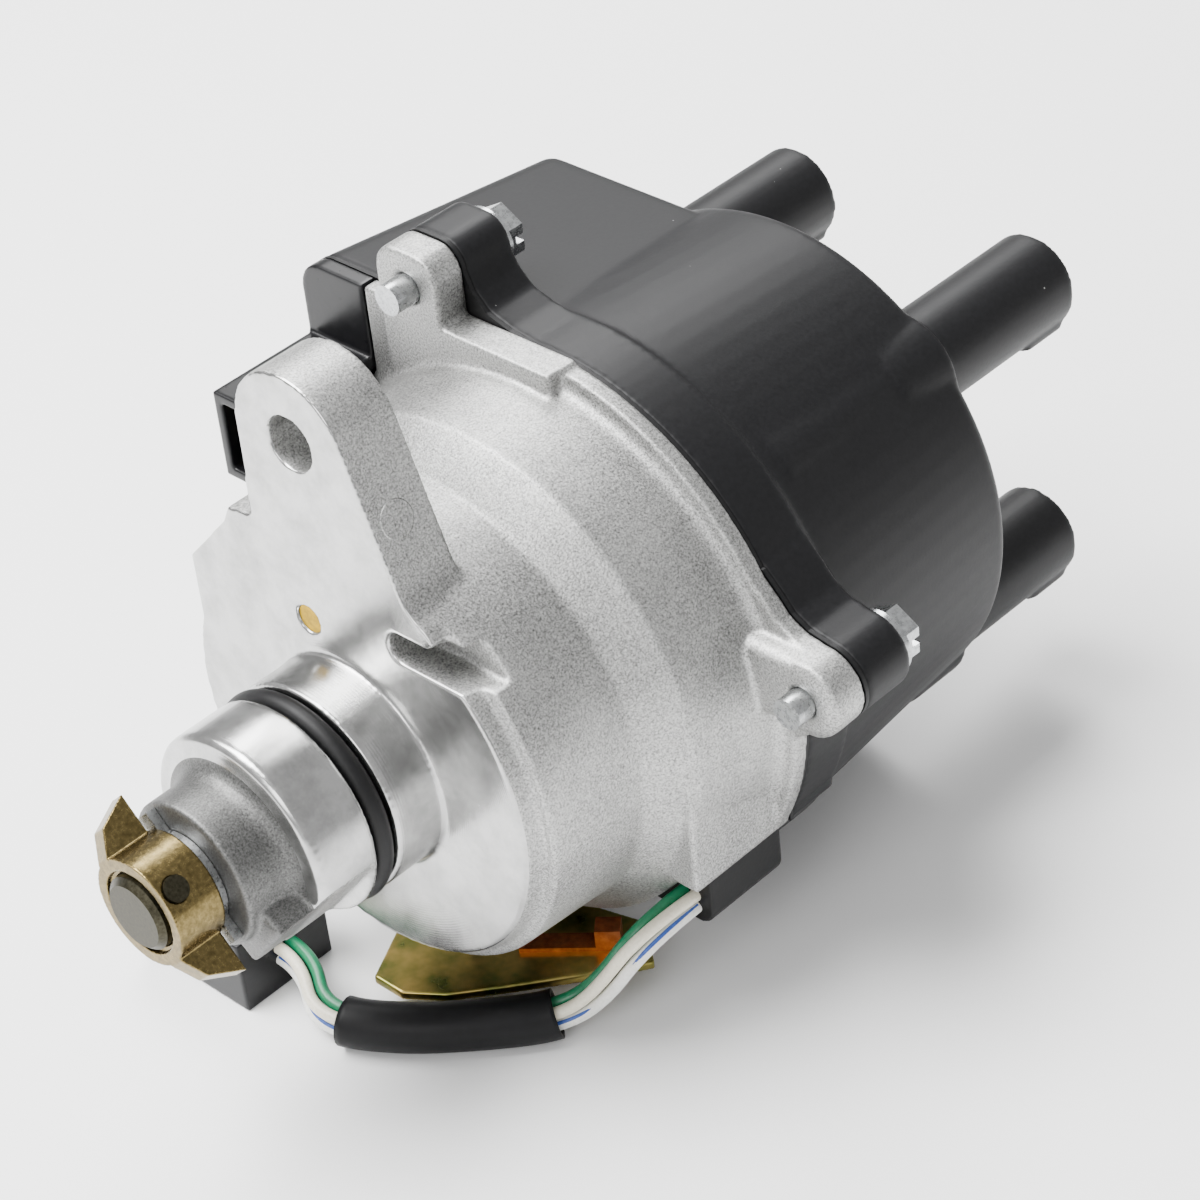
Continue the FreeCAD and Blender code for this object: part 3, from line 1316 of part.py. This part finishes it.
PLUG_X = ("plug_low_x", "plug_low_x + plug_width")
PLUG_Z = ("floor", "floor + plug_height")
PLUG_END = "plug_front + plug_length"
PLUG_WALL_Y = "plug_front + 10"
plug_body = block("PlugBody", PLUG_X, ("plug_front", PLUG_END), PLUG_Z)
plug_mouth = block(
    "PlugMouth", ("plug_low_x + plug_wall", "plug_low_x + plug_width - plug_wall"),
    (PLUG_WALL_Y, PLUG_END + " + 1"), ("floor + plug_wall", "floor + plug_height - plug_wall"))
latch = block(
    "PlugLatch", (PLUG_MIDDLE_X + " - latch_width / 2", PLUG_MIDDLE_X + " + latch_width / 2"),
    ("plug_front + 6", PLUG_END + " - 2"), ("floor + plug_height - 0.5", "floor + plug_height + latch_height"))
terminals = []
terminal_slots = []
for index, (name, sideways, upward) in enumerate(WIRES):
    middle = PLUG_MIDDLE_X + " + %d * wire_pitch / 2" % -sideways
    height = PLUG_MIDDLE_Z + " + %d * wire_pitch / 2" % upward
    for pieces, label, gap, y_range in (
        (terminals, "Terminal", "0", ("plug_front + 2", PLUG_WALL_Y + " + 8")),
        (terminal_slots, "TerminalSlot", "seat_gap", ("plug_front + 2", PLUG_WALL_Y + " + 1")),
    ):
        pieces.append(block(
            "%s%d" % (label, index),
            (middle + " - terminal_width / 2 - " + gap, middle + " + terminal_width / 2 + " + gap), y_range,
            (height + " - terminal_thickness / 2 - " + gap, height + " + terminal_thickness / 2 + " + gap)))
node("harness_connector", cut(
    "HarnessConnector", joined("PlugSolid", [plug_body, latch]), [plug_mouth] + terminal_slots))
node("connector_terminals", grouped("ConnectorTerminals", terminals))

# Bracket under the housing, bent up along its front edge, with its clip and screw

BRACKET_PLAN = (
    (-20.0, 7.0),
    (-20.0, 1.0),
    (-16.0, -5.0),
    (-9.0, -11.2),
    (0.6, -19.2),
    (9.0, -25.4),
    (15.0, -18.0),
    (12.0, -6.0),
    (4.0, 4.0),
    (-10.0, 12.0),
)
bracket_sheet = slab("BracketSheet", [
    ("bracket_boss_x + %s" % x, "bracket_boss_y + %s" % y) for x, y in BRACKET_PLAN
], "bracket_top - sheet_thickness", "bracket_top")
bracket_hole_through = cross_rod(
    "BracketClearance", "bracket_screw_radius + cap_screw_clearance", "sheet_thickness + 2",
    "bracket_boss_x", "bracket_boss_y", "bracket_top - sheet_thickness - 1", "Z")
node("connector_bracket", cut("ConnectorBracket", bracket_sheet, [bracket_hole_through]))
SCREW_SEAT = "bracket_top - sheet_thickness"
screw_head = cross_rod(
    "BracketScrewHead", "bracket_head_radius", "bracket_head_height",
    "bracket_boss_x", "bracket_boss_y", SCREW_SEAT + " - bracket_head_height", "Z")
screw_shank = cross_rod(
    "BracketScrewShank", "bracket_screw_radius", "sheet_thickness + 8",
    "bracket_boss_x", "bracket_boss_y", SCREW_SEAT + " - 0.5", "Z")
node("bracket_screw", joined("BracketScrew", [screw_head, screw_shank]))
CLIP_ACROSS = ("-clip_width / 2", "clip_width / 2")
clip_strip = block("ClipStrip", ("-clip_length / 2", "clip_length / 2"), CLIP_ACROSS, ("0", "clip_thickness"))
clip_loop = block("ClipLoop", ("clip_length / 4", "clip_length / 2"), CLIP_ACROSS, ("0", "clip_height"))
clip = joined("BracketClip", [clip_strip, clip_loop])
clip.Placement.Rotation = FreeCAD.Rotation(FreeCAD.Vector(0, 0, 1), number("clip_angle"))
bind(clip, {
    "Placement.Rotation.Angle": "clip_angle",
    "Placement.Base.x": "bracket_boss_x + 4",
    "Placement.Base.y": "bracket_boss_y - 12.5",
    "Placement.Base.z": "bracket_top",
})
node("bracket_clip", clip)

document.recompute()
for thing in document.Objects:
    if "Invalid" in thing.State or "Error" in thing.State:
        raise RuntimeError("%s did not build: %s" % (thing.Name, thing.State))
for piece in nodes:
    if piece.Shape.isNull() or not piece.Shape.isValid():
        raise RuntimeError("%s has no valid shape" % piece.Label)
os.makedirs("parts", exist_ok=True)
for piece in nodes:
    piece.Shape.exportStep("parts/%s.step" % piece.Label)
print(len(nodes), "nodes")
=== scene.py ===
import math

import bmesh
import bpy
from mathutils import Matrix, Vector


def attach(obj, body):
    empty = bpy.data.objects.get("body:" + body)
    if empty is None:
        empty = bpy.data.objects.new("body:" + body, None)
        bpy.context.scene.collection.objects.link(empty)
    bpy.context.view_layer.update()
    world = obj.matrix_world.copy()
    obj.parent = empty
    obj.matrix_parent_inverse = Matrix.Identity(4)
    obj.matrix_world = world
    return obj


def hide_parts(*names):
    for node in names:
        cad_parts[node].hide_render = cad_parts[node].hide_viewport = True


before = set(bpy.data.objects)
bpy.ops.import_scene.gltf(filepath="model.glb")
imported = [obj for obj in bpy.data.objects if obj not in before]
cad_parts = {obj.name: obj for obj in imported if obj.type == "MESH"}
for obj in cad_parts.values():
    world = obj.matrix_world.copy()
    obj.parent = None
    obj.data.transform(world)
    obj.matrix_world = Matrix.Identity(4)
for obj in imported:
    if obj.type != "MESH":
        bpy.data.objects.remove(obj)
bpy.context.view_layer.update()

# Camera: the photograph's view, from the drive end, the front and above.
# It stands about half a metre off with a long lens, and its frame is square.


def placed(name, data):
    """A new object at the origin, in the scene."""
    made = bpy.data.objects.new(name, data)
    bpy.context.scene.collection.objects.link(made)
    return made


camera = placed("camera", bpy.data.cameras.new("camera"))
camera.data.lens = 104.74
camera.data.sensor_width = 36.0
camera_right = Vector((0.6798, -0.7279, -0.0894))
camera_up = Vector((0.4851, 0.3548, 0.7993))
camera_back = Vector((-0.5501, -0.5867, 0.5943))
camera.matrix_world = Matrix.Translation((-0.2469, -0.3184, 0.3200)) @ Matrix(
    (camera_right, camera_up, camera_back)).transposed().to_4x4()
bpy.context.scene.camera = camera

# Harness wires: four stranded copper leads in extruded PVC insulation, 2 mm across, with a soft sheen.
# They leave the rubber grommet side by side, pass the sleeve and enter the back of the plug.
# One is white with a printed blue stripe, which a thinner bar set into its skin stands for.
wire_radius = 0.0010
wire_half_pitch = 0.00115
stripe_radius = 0.00042
stripe_offset = Vector((-0.00030, -0.00030, 0.00052))
harness_route = [Vector(point) / 1000 for point in (
    (30.0, -35.7, -29.6),
    (19.0, -35.7, -29.6),
    (15.7, -28.6, -42.6),
    (10.8, -24.4, -46.0),
    (3.8, -18.4, -46.0),
    (-6.6, -7.1, -46.0),
    (-12.4, 4.6, -46.0),
    (-6.8, 12.5, -43.25),
    (-6.8, 18.0, -43.25),
)]


def linear(code):
    """A linear colour from its sRGB hex code."""
    shares = [int(code[i:i + 2], 16) / 255 for i in (1, 3, 5)]
    return [s / 12.92 if s <= 0.04045 else ((s + 0.055) / 1.055) ** 2.4 for s in shares] + [1.0]


def add(tree, kind, inputs=None, links=None, stops=(), **settings):
    """Adds one shader node with its settings, its input values and the links into it.

    Stops are the places and hex codes of a colour ramp."""
    node = tree.nodes.new("ShaderNode" + kind)
    for name, value in settings.items():
        setattr(node, name, value)
    for name, value in (inputs or {}).items():
        node.inputs[name].default_value = value
    for name, socket in (links or {}).items():
        tree.links.new(socket, node.inputs[name])
    for index, (position, code) in enumerate(stops):
        node.color_ramp.elements[index].position = position
        node.color_ramp.elements[index].color = linear(code)
    return node


def material(name, **surface_values):
    """A material with its principled surface. Returns the material, its tree and its surface."""
    made = bpy.data.materials.new(name)
    made.use_nodes = True
    tree = made.node_tree
    tree.nodes.clear()
    surface = add(tree, "BsdfPrincipled", surface_values)
    add(tree, "OutputMaterial", links={"Surface": surface.outputs[0]})
    return made, tree, surface


def grained(tree, surface, low, high, grain_mm, depth_mm, strength, rough=None):
    """Grain of a size and depth in millimetres, which also moves the colour and the roughness.

    Returns the colour's socket."""
    place = add(tree, "TexCoord").outputs["Object"]
    noise = add(tree, "TexNoise", {"Scale": 1000 / grain_mm, "Detail": 3.0, "Roughness": 0.6},
                {"Vector": place}).outputs[0]
    bump = add(tree, "Bump", {"Strength": strength, "Distance": depth_mm / 1000}, {"Height": noise})
    tree.links.new(bump.outputs[0], surface.inputs["Normal"])
    colour = add(tree, "ValToRGB", links={"Fac": noise}, stops=((0.3, low), (0.7, high)))
    tree.links.new(colour.outputs[0], surface.inputs["Base Color"])
    if rough:
        ranged = add(tree, "MapRange", {"To Min": rough[0], "To Max": rough[1]}, {"Value": noise})
        tree.links.new(ranged.outputs[0], surface.inputs["Roughness"])
    return colour.outputs[0]


def beside(route, sideways, upward):
    """The route moved to one side and up, so that a wire keeps its place in the bundle."""
    moved = []
    for index, point in enumerate(route):
        neighbours = route[max(index - 1, 0):index + 2]
        runs = [(after - before).normalized() for before, after in zip(neighbours, neighbours[1:])]
        offsets = []
        for run in runs:
            side = Vector((-run.y, run.x, 0)).normalized()
            offsets.append(side * sideways + run.cross(side) * upward)
        share = offsets[0].dot(offsets[-1]) / offsets[0].dot(offsets[0])
        moved.append(point + (offsets[0] + offsets[-1]) / (1 + share))
    return moved


def smooth_line(name, points, radius):
    """A round bar on one smooth spline with these points as its controls."""
    curve = bpy.data.curves.new(name, "CURVE")
    curve.dimensions = "3D"
    spline = curve.splines.new("NURBS")
    spline.points.add(len(points) - 1)
    for control, point in zip(spline.points, points):
        control.co = (*point, 1.0)
    spline.order_u = 3
    spline.use_endpoint_u = True
    spline.resolution_u = 16
    curve.bevel_depth = radius
    curve.bevel_resolution = 8
    curve.use_fill_caps = True
    return placed(name, curve)


def stands_for(piece, finish, node, body):
    """Gives a piece its finish and lets it stand for its CAD node, on that node's body."""
    piece.data.materials.clear()
    piece.data.materials.append(finish)
    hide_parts(node)
    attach(piece, body)


for colour_name, sideways, upward, low, high, length in (
    ("green", -1, 1, "#0E6B46", "#128055", 0.0803),
    ("white", 1, 1, "#D9D3BE", "#E8E2CF", 0.0839),
    ("striped", 1, -1, "#DCDCD6", "#ECECE8", 0.0838),
    ("black", -1, -1, "#161618", "#232326", 0.0802),
):
    insulation, tree, surface = material(colour_name + " PVC insulation", Roughness=0.36, IOR=1.53)
    grained(tree, surface, low, high, 0.5, 0.02, 0.4)
    route = beside(harness_route, sideways * wire_half_pitch, upward * wire_half_pitch)
    wire = smooth_line(colour_name + "_lead", route, wire_radius)
    stands_for(wire, insulation, colour_name + "_wire", "body")
    if colour_name == "striped":
        stripe = smooth_line("blue_stripe", [point + stripe_offset for point in route], stripe_radius)
        ink, tree, surface = material("blue printed stripe", Roughness=0.4, IOR=1.52)
        grained(tree, surface, "#1F4391", "#2F58AE", 0.5, 0.02, 0.4)
        stands_for(stripe, ink, "striped_wire", "body")

# Harness sleeve: a length of soft black PVC tubing, 8 mm across with a 0.6 mm wall, dull and slightly uneven.
# It is slipped over the wires and lies loose on them, and its ends are cut square.
sleeve_radius = 0.0040
sleeve_wall = 0.0006
# The wires' spline runs in arcs from one leg's middle to the next.
# The sleeve covers these tenths of four arcs.
sleeve_middle = []
for corner, first_tenth, past_tenth in ((3, 5, 10), (4, 0, 10), (5, 0, 10), (6, 0, 3)):
    turn = harness_route[corner]
    before = (harness_route[corner - 1] + turn) / 2
    after = (turn + harness_route[corner + 1]) / 2
    for tenth in range(first_tenth, past_tenth):
        t = tenth / 10
        sleeve_middle.append((1 - t) ** 2 * before + 2 * t * (1 - t) * turn + t ** 2 * after)
sleeve_line = smooth_line("sleeve_line", sleeve_middle, sleeve_radius)
sleeve_line.data.use_fill_caps = False
sleeve_line.data.splines[0].resolution_u = 2


def settled(shaped):
    """The mesh that an object has with its modifiers or bevel worked out."""
    return bpy.data.meshes.new_from_object(shaped.evaluated_get(bpy.context.evaluated_depsgraph_get()))


sleeve = placed("harness_tubing", settled(sleeve_line))
bpy.data.objects.remove(sleeve_line)
wall = sleeve.modifiers.new("wall", "SOLIDIFY")
wall.thickness = sleeve_wall
wall.offset = -1
for polygon in sleeve.data.polygons:
    polygon.use_smooth = True
tubing, tree, surface = material("matt PVC tubing", **{"IOR": 1.52, "Specular IOR Level": 0.2})
grained(tree, surface, "#060607", "#0E0E10", 1.6, 0.06, 0.5, (0.38, 0.6))
stands_for(sleeve, tubing, "harness_sleeve", "body")

# Housing: one aluminium die casting, grey and finely rough as cast. The spigot and the face are turned
# bright, with the tool's fine rings, and the nose in front of them is rough and drawn darker.
# Its edges carry the die's small radii. In this copy a cone fills the hollow that the cap closes.


def moulded_copy(name, node, voxel, relax, kept=1.0, filler=None):
    """A copy of a CAD node with the soft edges of a casting or moulding.

    A filler is a cone on the shaft's axis, given by its ends and radii, which fills the hollow.
    Where less than all is kept, that share of the triangles stays, and the flat parts lose most."""
    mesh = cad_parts[node].data.copy()
    mesh.name = name
    made = placed(name, mesh)
    work = bmesh.new()
    work.from_mesh(mesh)
    bmesh.ops.remove_doubles(work, verts=work.verts, dist=1e-6)
    if filler:
        start, end, front_radius, back_radius = filler
        cone = bmesh.ops.create_cone(
            work, cap_ends=True, segments=96, radius1=front_radius, radius2=back_radius, depth=end - start)
        along = Matrix.Translation(((start + end) / 2, 0, 0)) @ Matrix.Rotation(math.radians(90), 4, "Y")
        bmesh.ops.transform(work, matrix=along, verts=cone["verts"])
    work.to_mesh(mesh)
    work.free()
    skin = made.modifiers.new("skin", "REMESH")
    skin.mode = "VOXEL"
    skin.voxel_size = voxel
    skin.use_smooth_shade = True
    radii = made.modifiers.new("radii", "SMOOTH")
    radii.factor = 0.5
    radii.iterations = relax
    if kept < 1:
        made.modifiers.new("thinned", "DECIMATE").ratio = kept
    final = settled(made)
    made.modifiers.clear()
    made.data = final
    return made


casting = moulded_copy("housing_casting", "housing", voxel=0.00042, relax=8, kept=0.32,
                       filler=(0.0085, 0.0459, 0.0335, 0.0415))
# Levels along the shaft's axis and reaches from it, in metres, matched to the CAD housing.
face_level = 0.00035
nose_level = -0.0243
nose_dark = (-0.0215, -0.0245)
spigot_reach = 0.0179
drain_flat_turn = math.radians(219)
drain_flat_reach = 0.0148
drain_flat_end = -0.0139
flat_margin = 0.0003
face_feed = 0.00045
spigot_feed = 0.0005
cast_grain_mm = 1 / 3
ejector_place = (0.0046, -0.0113, 0.0450)
ejector_edge = (0.0030, 0.0028)

# The machined mask: turned between the nose and the face, but not on the cast drain flat.
aluminium, tree, surface = material("die-cast aluminium", Metallic=1.0)
place = add(tree, "TexCoord").outputs["Object"]
axes = add(tree, "SeparateXYZ", links={"Vector": place})
y_square = add(tree, "Math", {1: 2.0}, {0: axes.outputs["Y"]}, operation="POWER")
z_square = add(tree, "Math", {1: 2.0}, {0: axes.outputs["Z"]}, operation="POWER")
square = add(tree, "Math", links={0: y_square.outputs[0], 1: z_square.outputs[0]}, operation="ADD")
radius = add(tree, "Math", links={0: square.outputs[0]}, operation="SQRT")
before_face = add(tree, "Math", {1: face_level}, {0: axes.outputs["X"]}, operation="LESS_THAN")
past_nose = add(tree, "Math", {1: nose_level}, {0: axes.outputs["X"]}, operation="GREATER_THAN")
turned = add(tree, "Math", links={0: before_face.outputs[0], 1: past_nose.outputs[0]}, operation="MULTIPLY")
across_flat = add(tree, "VectorMath", {1: (0, math.cos(drain_flat_turn), math.sin(drain_flat_turn))},
                  {0: place}, operation="DOT_PRODUCT")
flat_side = add(tree, "Math", {1: drain_flat_reach}, {0: across_flat.outputs["Value"]}, operation="SUBTRACT")
flat_near = add(tree, "Math", links={0: flat_side.outputs[0]}, operation="ABSOLUTE")
past_flat = add(tree, "Math", {1: drain_flat_end}, {0: axes.outputs["X"]}, operation="GREATER_THAN")
off_flat = add(tree, "Math", {1: flat_margin}, {0: flat_near.outputs[0]}, operation="GREATER_THAN")
not_flat = add(tree, "Math", links={0: off_flat.outputs[0], 1: past_flat.outputs[0]}, operation="MAXIMUM")
machined = add(tree, "Math", links={0: turned.outputs[0], 1: not_flat.outputs[0]}, operation="MULTIPLY")

# Colour: cast skin of three grains to the millimetre, drawn coarse enough to show, with flow marks of
# about 18 mm, and the turned parts' handling marks of about 8 mm.
skin_grain = add(tree, "TexNoise", {"Scale": 1000 / cast_grain_mm, "Detail": 3.0, "Roughness": 0.75},
                 {"Vector": place})
flow = add(tree, "TexNoise", {"Scale": 55.0, "Detail": 3.0}, {"Vector": place})
both = add(tree, "MixRGB", {"Fac": 0.22}, {"Color1": skin_grain.outputs[0], "Color2": flow.outputs[0]})
cast_colour = add(tree, "ValToRGB", links={"Fac": both.outputs[0]},
                  stops=((0.34, "#5E5E5D"), (0.64, "#CDCDCB")))
# The nose's colour is mixed darker from just behind the spigot's front edge forward.
on_nose = add(tree, "MapRange", {"From Min": nose_dark[0], "From Max": nose_dark[1], "To Max": 0.7},
              {"Value": axes.outputs["X"]})
nose_colour = add(tree, "MixRGB", {"Color2": linear("#3C3C3B")},
                  {"Fac": on_nose.outputs[0], "Color1": cast_colour.outputs[0]})
handled = add(tree, "TexNoise", {"Scale": 130.0, "Detail": 6.0, "Roughness": 0.7}, {"Vector": place})
bright_colour = add(tree, "ValToRGB", links={"Fac": handled.outputs[0]},
                    stops=((0.3, "#A0A09F"), (0.6, "#C2C2C1")))
colour = add(tree, "MixRGB", links={
    "Fac": machined.outputs[0], "Color1": nose_colour.outputs[0], "Color2": bright_colour.outputs[0]})
tree.links.new(colour.outputs[0], surface.inputs["Base Color"])
cast_rough = add(tree, "MapRange", {"To Min": 0.38, "To Max": 0.62}, {"Value": both.outputs[0]})
bright_rough = add(tree, "MapRange", {"To Min": 0.16, "To Max": 0.32}, {"Value": handled.outputs[0]})
rough = add(tree, "MixRGB", links={
    "Fac": machined.outputs[0], "Color1": cast_rough.outputs[0], "Color2": bright_rough.outputs[0]})
tree.links.new(rough.outputs[0], surface.inputs["Roughness"])

# Relief: the cast skin, the tool's rings on the face and along the spigot, drawn coarse enough to show,
# and one ejector pin's round mark on the lug's flank.
rings = add(tree, "Math", {1: 2 * math.pi / face_feed}, {0: radius.outputs[0]}, operation="MULTIPLY")
ring_wave = add(tree, "Math", links={0: rings.outputs[0]}, operation="SINE")
passes = add(tree, "Math", {1: 2 * math.pi / spigot_feed}, {0: axes.outputs["X"]}, operation="MULTIPLY")
pass_wave = add(tree, "Math", links={0: passes.outputs[0]}, operation="SINE")
on_spigot = add(tree, "Math", {1: spigot_reach}, {0: radius.outputs[0]}, operation="LESS_THAN")
lathe_marks = add(tree, "MixRGB", links={
    "Fac": on_spigot.outputs[0], "Color1": ring_wave.outputs[0], "Color2": pass_wave.outputs[0]})
lathe_height = add(tree, "MapRange", {"From Min": -1.0, "To Min": 0.47, "To Max": 0.53},
                   {"Value": lathe_marks.outputs[0]})
height = add(tree, "MixRGB", links={
    "Fac": machined.outputs[0], "Color1": skin_grain.outputs[0], "Color2": lathe_height.outputs[0]})
relief = add(tree, "Bump", {"Strength": 0.6, "Distance": 0.00009}, {"Height": height.outputs[0]})
from_pin = add(tree, "VectorMath", {1: ejector_place}, {0: place}, operation="DISTANCE")
pin_mark = add(tree, "MapRange", {"From Min": ejector_edge[0], "From Max": ejector_edge[1]},
               {"Value": from_pin.outputs["Value"]})
marked = add(tree, "Bump", {"Strength": 1.0, "Distance": 0.0002},
             {"Height": pin_mark.outputs[0], "Normal": relief.outputs[0]})
tree.links.new(marked.outputs[0], surface.inputs["Normal"])
stands_for(casting, aluminium, "housing", "body")

# Cap: injection-moulded black PBT with glass fibre, satin from the mould, with the mould's small radii.
# Pale specks show on it, one in about seven cells of 3 mm. A cone fills this copy's hollow too.
low_gloss = {"Specular IOR Level": 0.25}
speck_reach = 0.045
speck_share = 0.86
cap_cover = moulded_copy("cap_moulding", "cap", voxel=0.00050, relax=7, kept=0.38,
                         filler=(0.0469, 0.0960, 0.0424, 0.0400))
pbt, tree, surface = material("moulded PBT", IOR=1.5, **low_gloss)
black = grained(tree, surface, "#08080A", "#101012", 0.7, 0.03, 0.5, (0.42, 0.54))
place = add(tree, "TexCoord").outputs["Object"]
cells = add(tree, "TexVoronoi", {"Scale": 330.0}, {"Vector": place})
near = add(tree, "Math", {1: speck_reach}, {0: cells.outputs["Distance"]}, operation="LESS_THAN")
chosen = add(tree, "SeparateXYZ", links={"Vector": cells.outputs["Color"]})
rare = add(tree, "Math", {1: speck_share}, {0: chosen.outputs["X"]}, operation="GREATER_THAN")
speck = add(tree, "Math", links={0: near.outputs[0], 1: rare.outputs[0]}, operation="MULTIPLY")
specked = add(tree, "MixRGB", {"Color2": linear("#8C8C8A")}, {"Fac": speck.outputs[0], "Color1": black})
tree.links.new(specked.outputs[0], surface.inputs["Base Color"])
stands_for(cap_cover, pbt, "cap", "body")

# Small and inner pieces: pressed, turned, plated and moulded parts that keep their CAD meshes.
# Rubber and nylon are near black and dull, sintered bronze is brown, the ground steel is dark with an
# olive cast, zinc plate is bright, and the bracket's passivated zinc wanders between olive and gold.


def simple(name, low, high, rough, grain_mm, depth_mm, **surface_values):
    """A material of one colour family with its own grain."""
    made, tree, surface = material(name, **surface_values)
    grained(tree, surface, low, high, grain_mm, depth_mm, 0.6, rough)
    return made


rubber = simple("nitrile rubber", "#070708", "#101011", (0.42, 0.6), 0.8, 0.03, IOR=1.52, **low_gloss)
bronze = simple("sintered bronze", "#5A4E30", "#82724A", (0.2, 0.32), 0.7, 0.008, Metallic=1.0)
steel = simple("ground steel", "#2C2A20", "#454236", (0.34, 0.5), 0.5, 0.02, Metallic=1.0)
zinc = simple("bright zinc plate", "#9A9C9D", "#C4C6C7", (0.2, 0.36), 0.9, 0.012, Metallic=1.0)
yellow_zinc = simple("yellow passivated zinc", "#66703A", "#BCA05C", (0.22, 0.38), 6.0, 0.05, Metallic=1.0)
copper = simple("copper strip", "#8A4B2C", "#B06A43", (0.26, 0.42), 1.2, 0.03, Metallic=1.0)
brass = simple("drawn brass", "#A88B4A", "#CDB06E", (0.24, 0.4), 0.8, 0.02, Metallic=1.0)
nylon = simple("moulded nylon", "#08080A", "#101012", (0.24, 0.36), 1.5, 0.02, IOR=1.53, **low_gloss)
resin = simple("cast epoxy resin", "#101012", "#1B1B1E", (0.35, 0.5), 1.2, 0.04, IOR=1.55)
iron = simple("stamped core iron", "#4A4B4D", "#66676A", (0.35, 0.55), 0.7, 0.04, Metallic=1.0)
phenolic = simple("moulded phenolic", "#1A1613", "#262019", (0.35, 0.5), 0.9, 0.03, IOR=1.56)
carbon_stock = simple("pressed carbon", "#141414", "#242424", (0.45, 0.65), 0.5, 0.03, IOR=1.5)
yellow_plate = simple("yellow plated steel", "#8A6E00", "#B89400", (0.3, 0.45), 0.9, 0.02, Metallic=1.0)
for finish, names in (
    (rubber, ("spigot_o_ring", "cap_gasket", "oil_seal")),
    (bronze, ("lower_bush",)),
    (steel, ("drive_shaft", "coupling_pin", "rotor_pin", "bearing_outer_ring", "bearing_inner_ring",
             "bearing_circlip", "brush_spring")),
    (zinc, ("cap_screws", "thrust_washer", "plate_screws", "igniter_screws", "bracket_screw", "rotor_screw",
            "pickup_plate", "bearing_shields")),
    (copper, ("bracket_clip",)),
    (brass, ("rotor_blade", "cap_electrodes", "side_terminals", "connector_terminals")),
    (resin, ("ignition_coil", "igniter_module", "pickup_coil")),
    (iron, ("coil_core", "signal_rotor", "pickup_core")),
    (phenolic, ("rotor_arm", "dust_shield")),
    (carbon_stock, ("carbon_brush",)),
    (yellow_plate, ("witness_plug",)),
):
    for name in names:
        node_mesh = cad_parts[name].data
        node_mesh.materials.clear()
        node_mesh.materials.append(finish)

# Pieces with soft edges of their own: the sintered coupling, the moulded plug shell and socket,
# the rubber grommet and the pressed bracket. Each keeps its node's size and has rounded arrises.
soft_pieces = {}
for name, node, voxel, relax, finish, slot, body in (
    ("coupling_dogs", "drive_coupling", 0.00019, 3, bronze, "sintered_bronze", "shaft"),
    ("plug_shell", "harness_connector", 0.00030, 3, nylon, "connector_plastic", "body"),
    ("socket_moulding", "side_connector", 0.00032, 3, nylon, "cap_plastic", "body"),
    ("grommet_block", "wire_grommet", 0.00030, 5, rubber, "black_rubber", "body"),
    ("bracket_plate", "connector_bracket", 0.00026, 4, yellow_zinc, "yellow_zinc_steel", "body"),
):
    soft_pieces[name] = moulded_copy(name, node, voxel, relax)
    stands_for(soft_pieces[name], finish, node, body)

# Stage: a pale paper floor 50 mm under the shaft's axis, where the lowest pieces touch it,
# an even white surround, and three square soft lights with the strongest from above.
floor_level = -0.0500
floor_mesh = bpy.data.meshes.new("floor")
work = bmesh.new()
bmesh.ops.create_grid(work, x_segments=1, y_segments=1, size=4.0)
bmesh.ops.translate(work, verts=work.verts, vec=(0, 0, floor_level))
work.to_mesh(floor_mesh)
work.free()
floor = placed("floor", floor_mesh)
paper, tree, surface = material("white paper sweep", Roughness=0.8)
surface.inputs["Base Color"].default_value = linear("#FCFCFC")
floor.data.materials.append(paper)

world = bpy.data.worlds.new("studio")
bpy.context.scene.world = world
world.use_nodes = True
background = world.node_tree.nodes["Background"]
background.inputs["Color"].default_value = (1.0, 1.0, 1.0, 1.0)
background.inputs["Strength"].default_value = 0.7


def softbox(name, stand, target, size, power):
    """A square soft light that faces the target."""
    lamp = bpy.data.lights.new(name, "AREA")
    lamp.shape = "SQUARE"
    lamp.size = size
    lamp.energy = power
    aim = (Vector(target) - Vector(stand)).to_track_quat("-Z", "Y")
    placed(name, lamp).matrix_world = Matrix.Translation(stand) @ aim.to_matrix().to_4x4()


softbox("key_light", (-0.25, 0.30, 0.80), (0.03, 0, 0), 0.60, 27.0)
softbox("side_light", (-0.65, -0.25, 0.45), (0.0, 0, 0), 0.35, 2.6)
softbox("back_light", (0.55, 0.45, 0.7), (0.03, 0, 0), 0.4, 9.0)
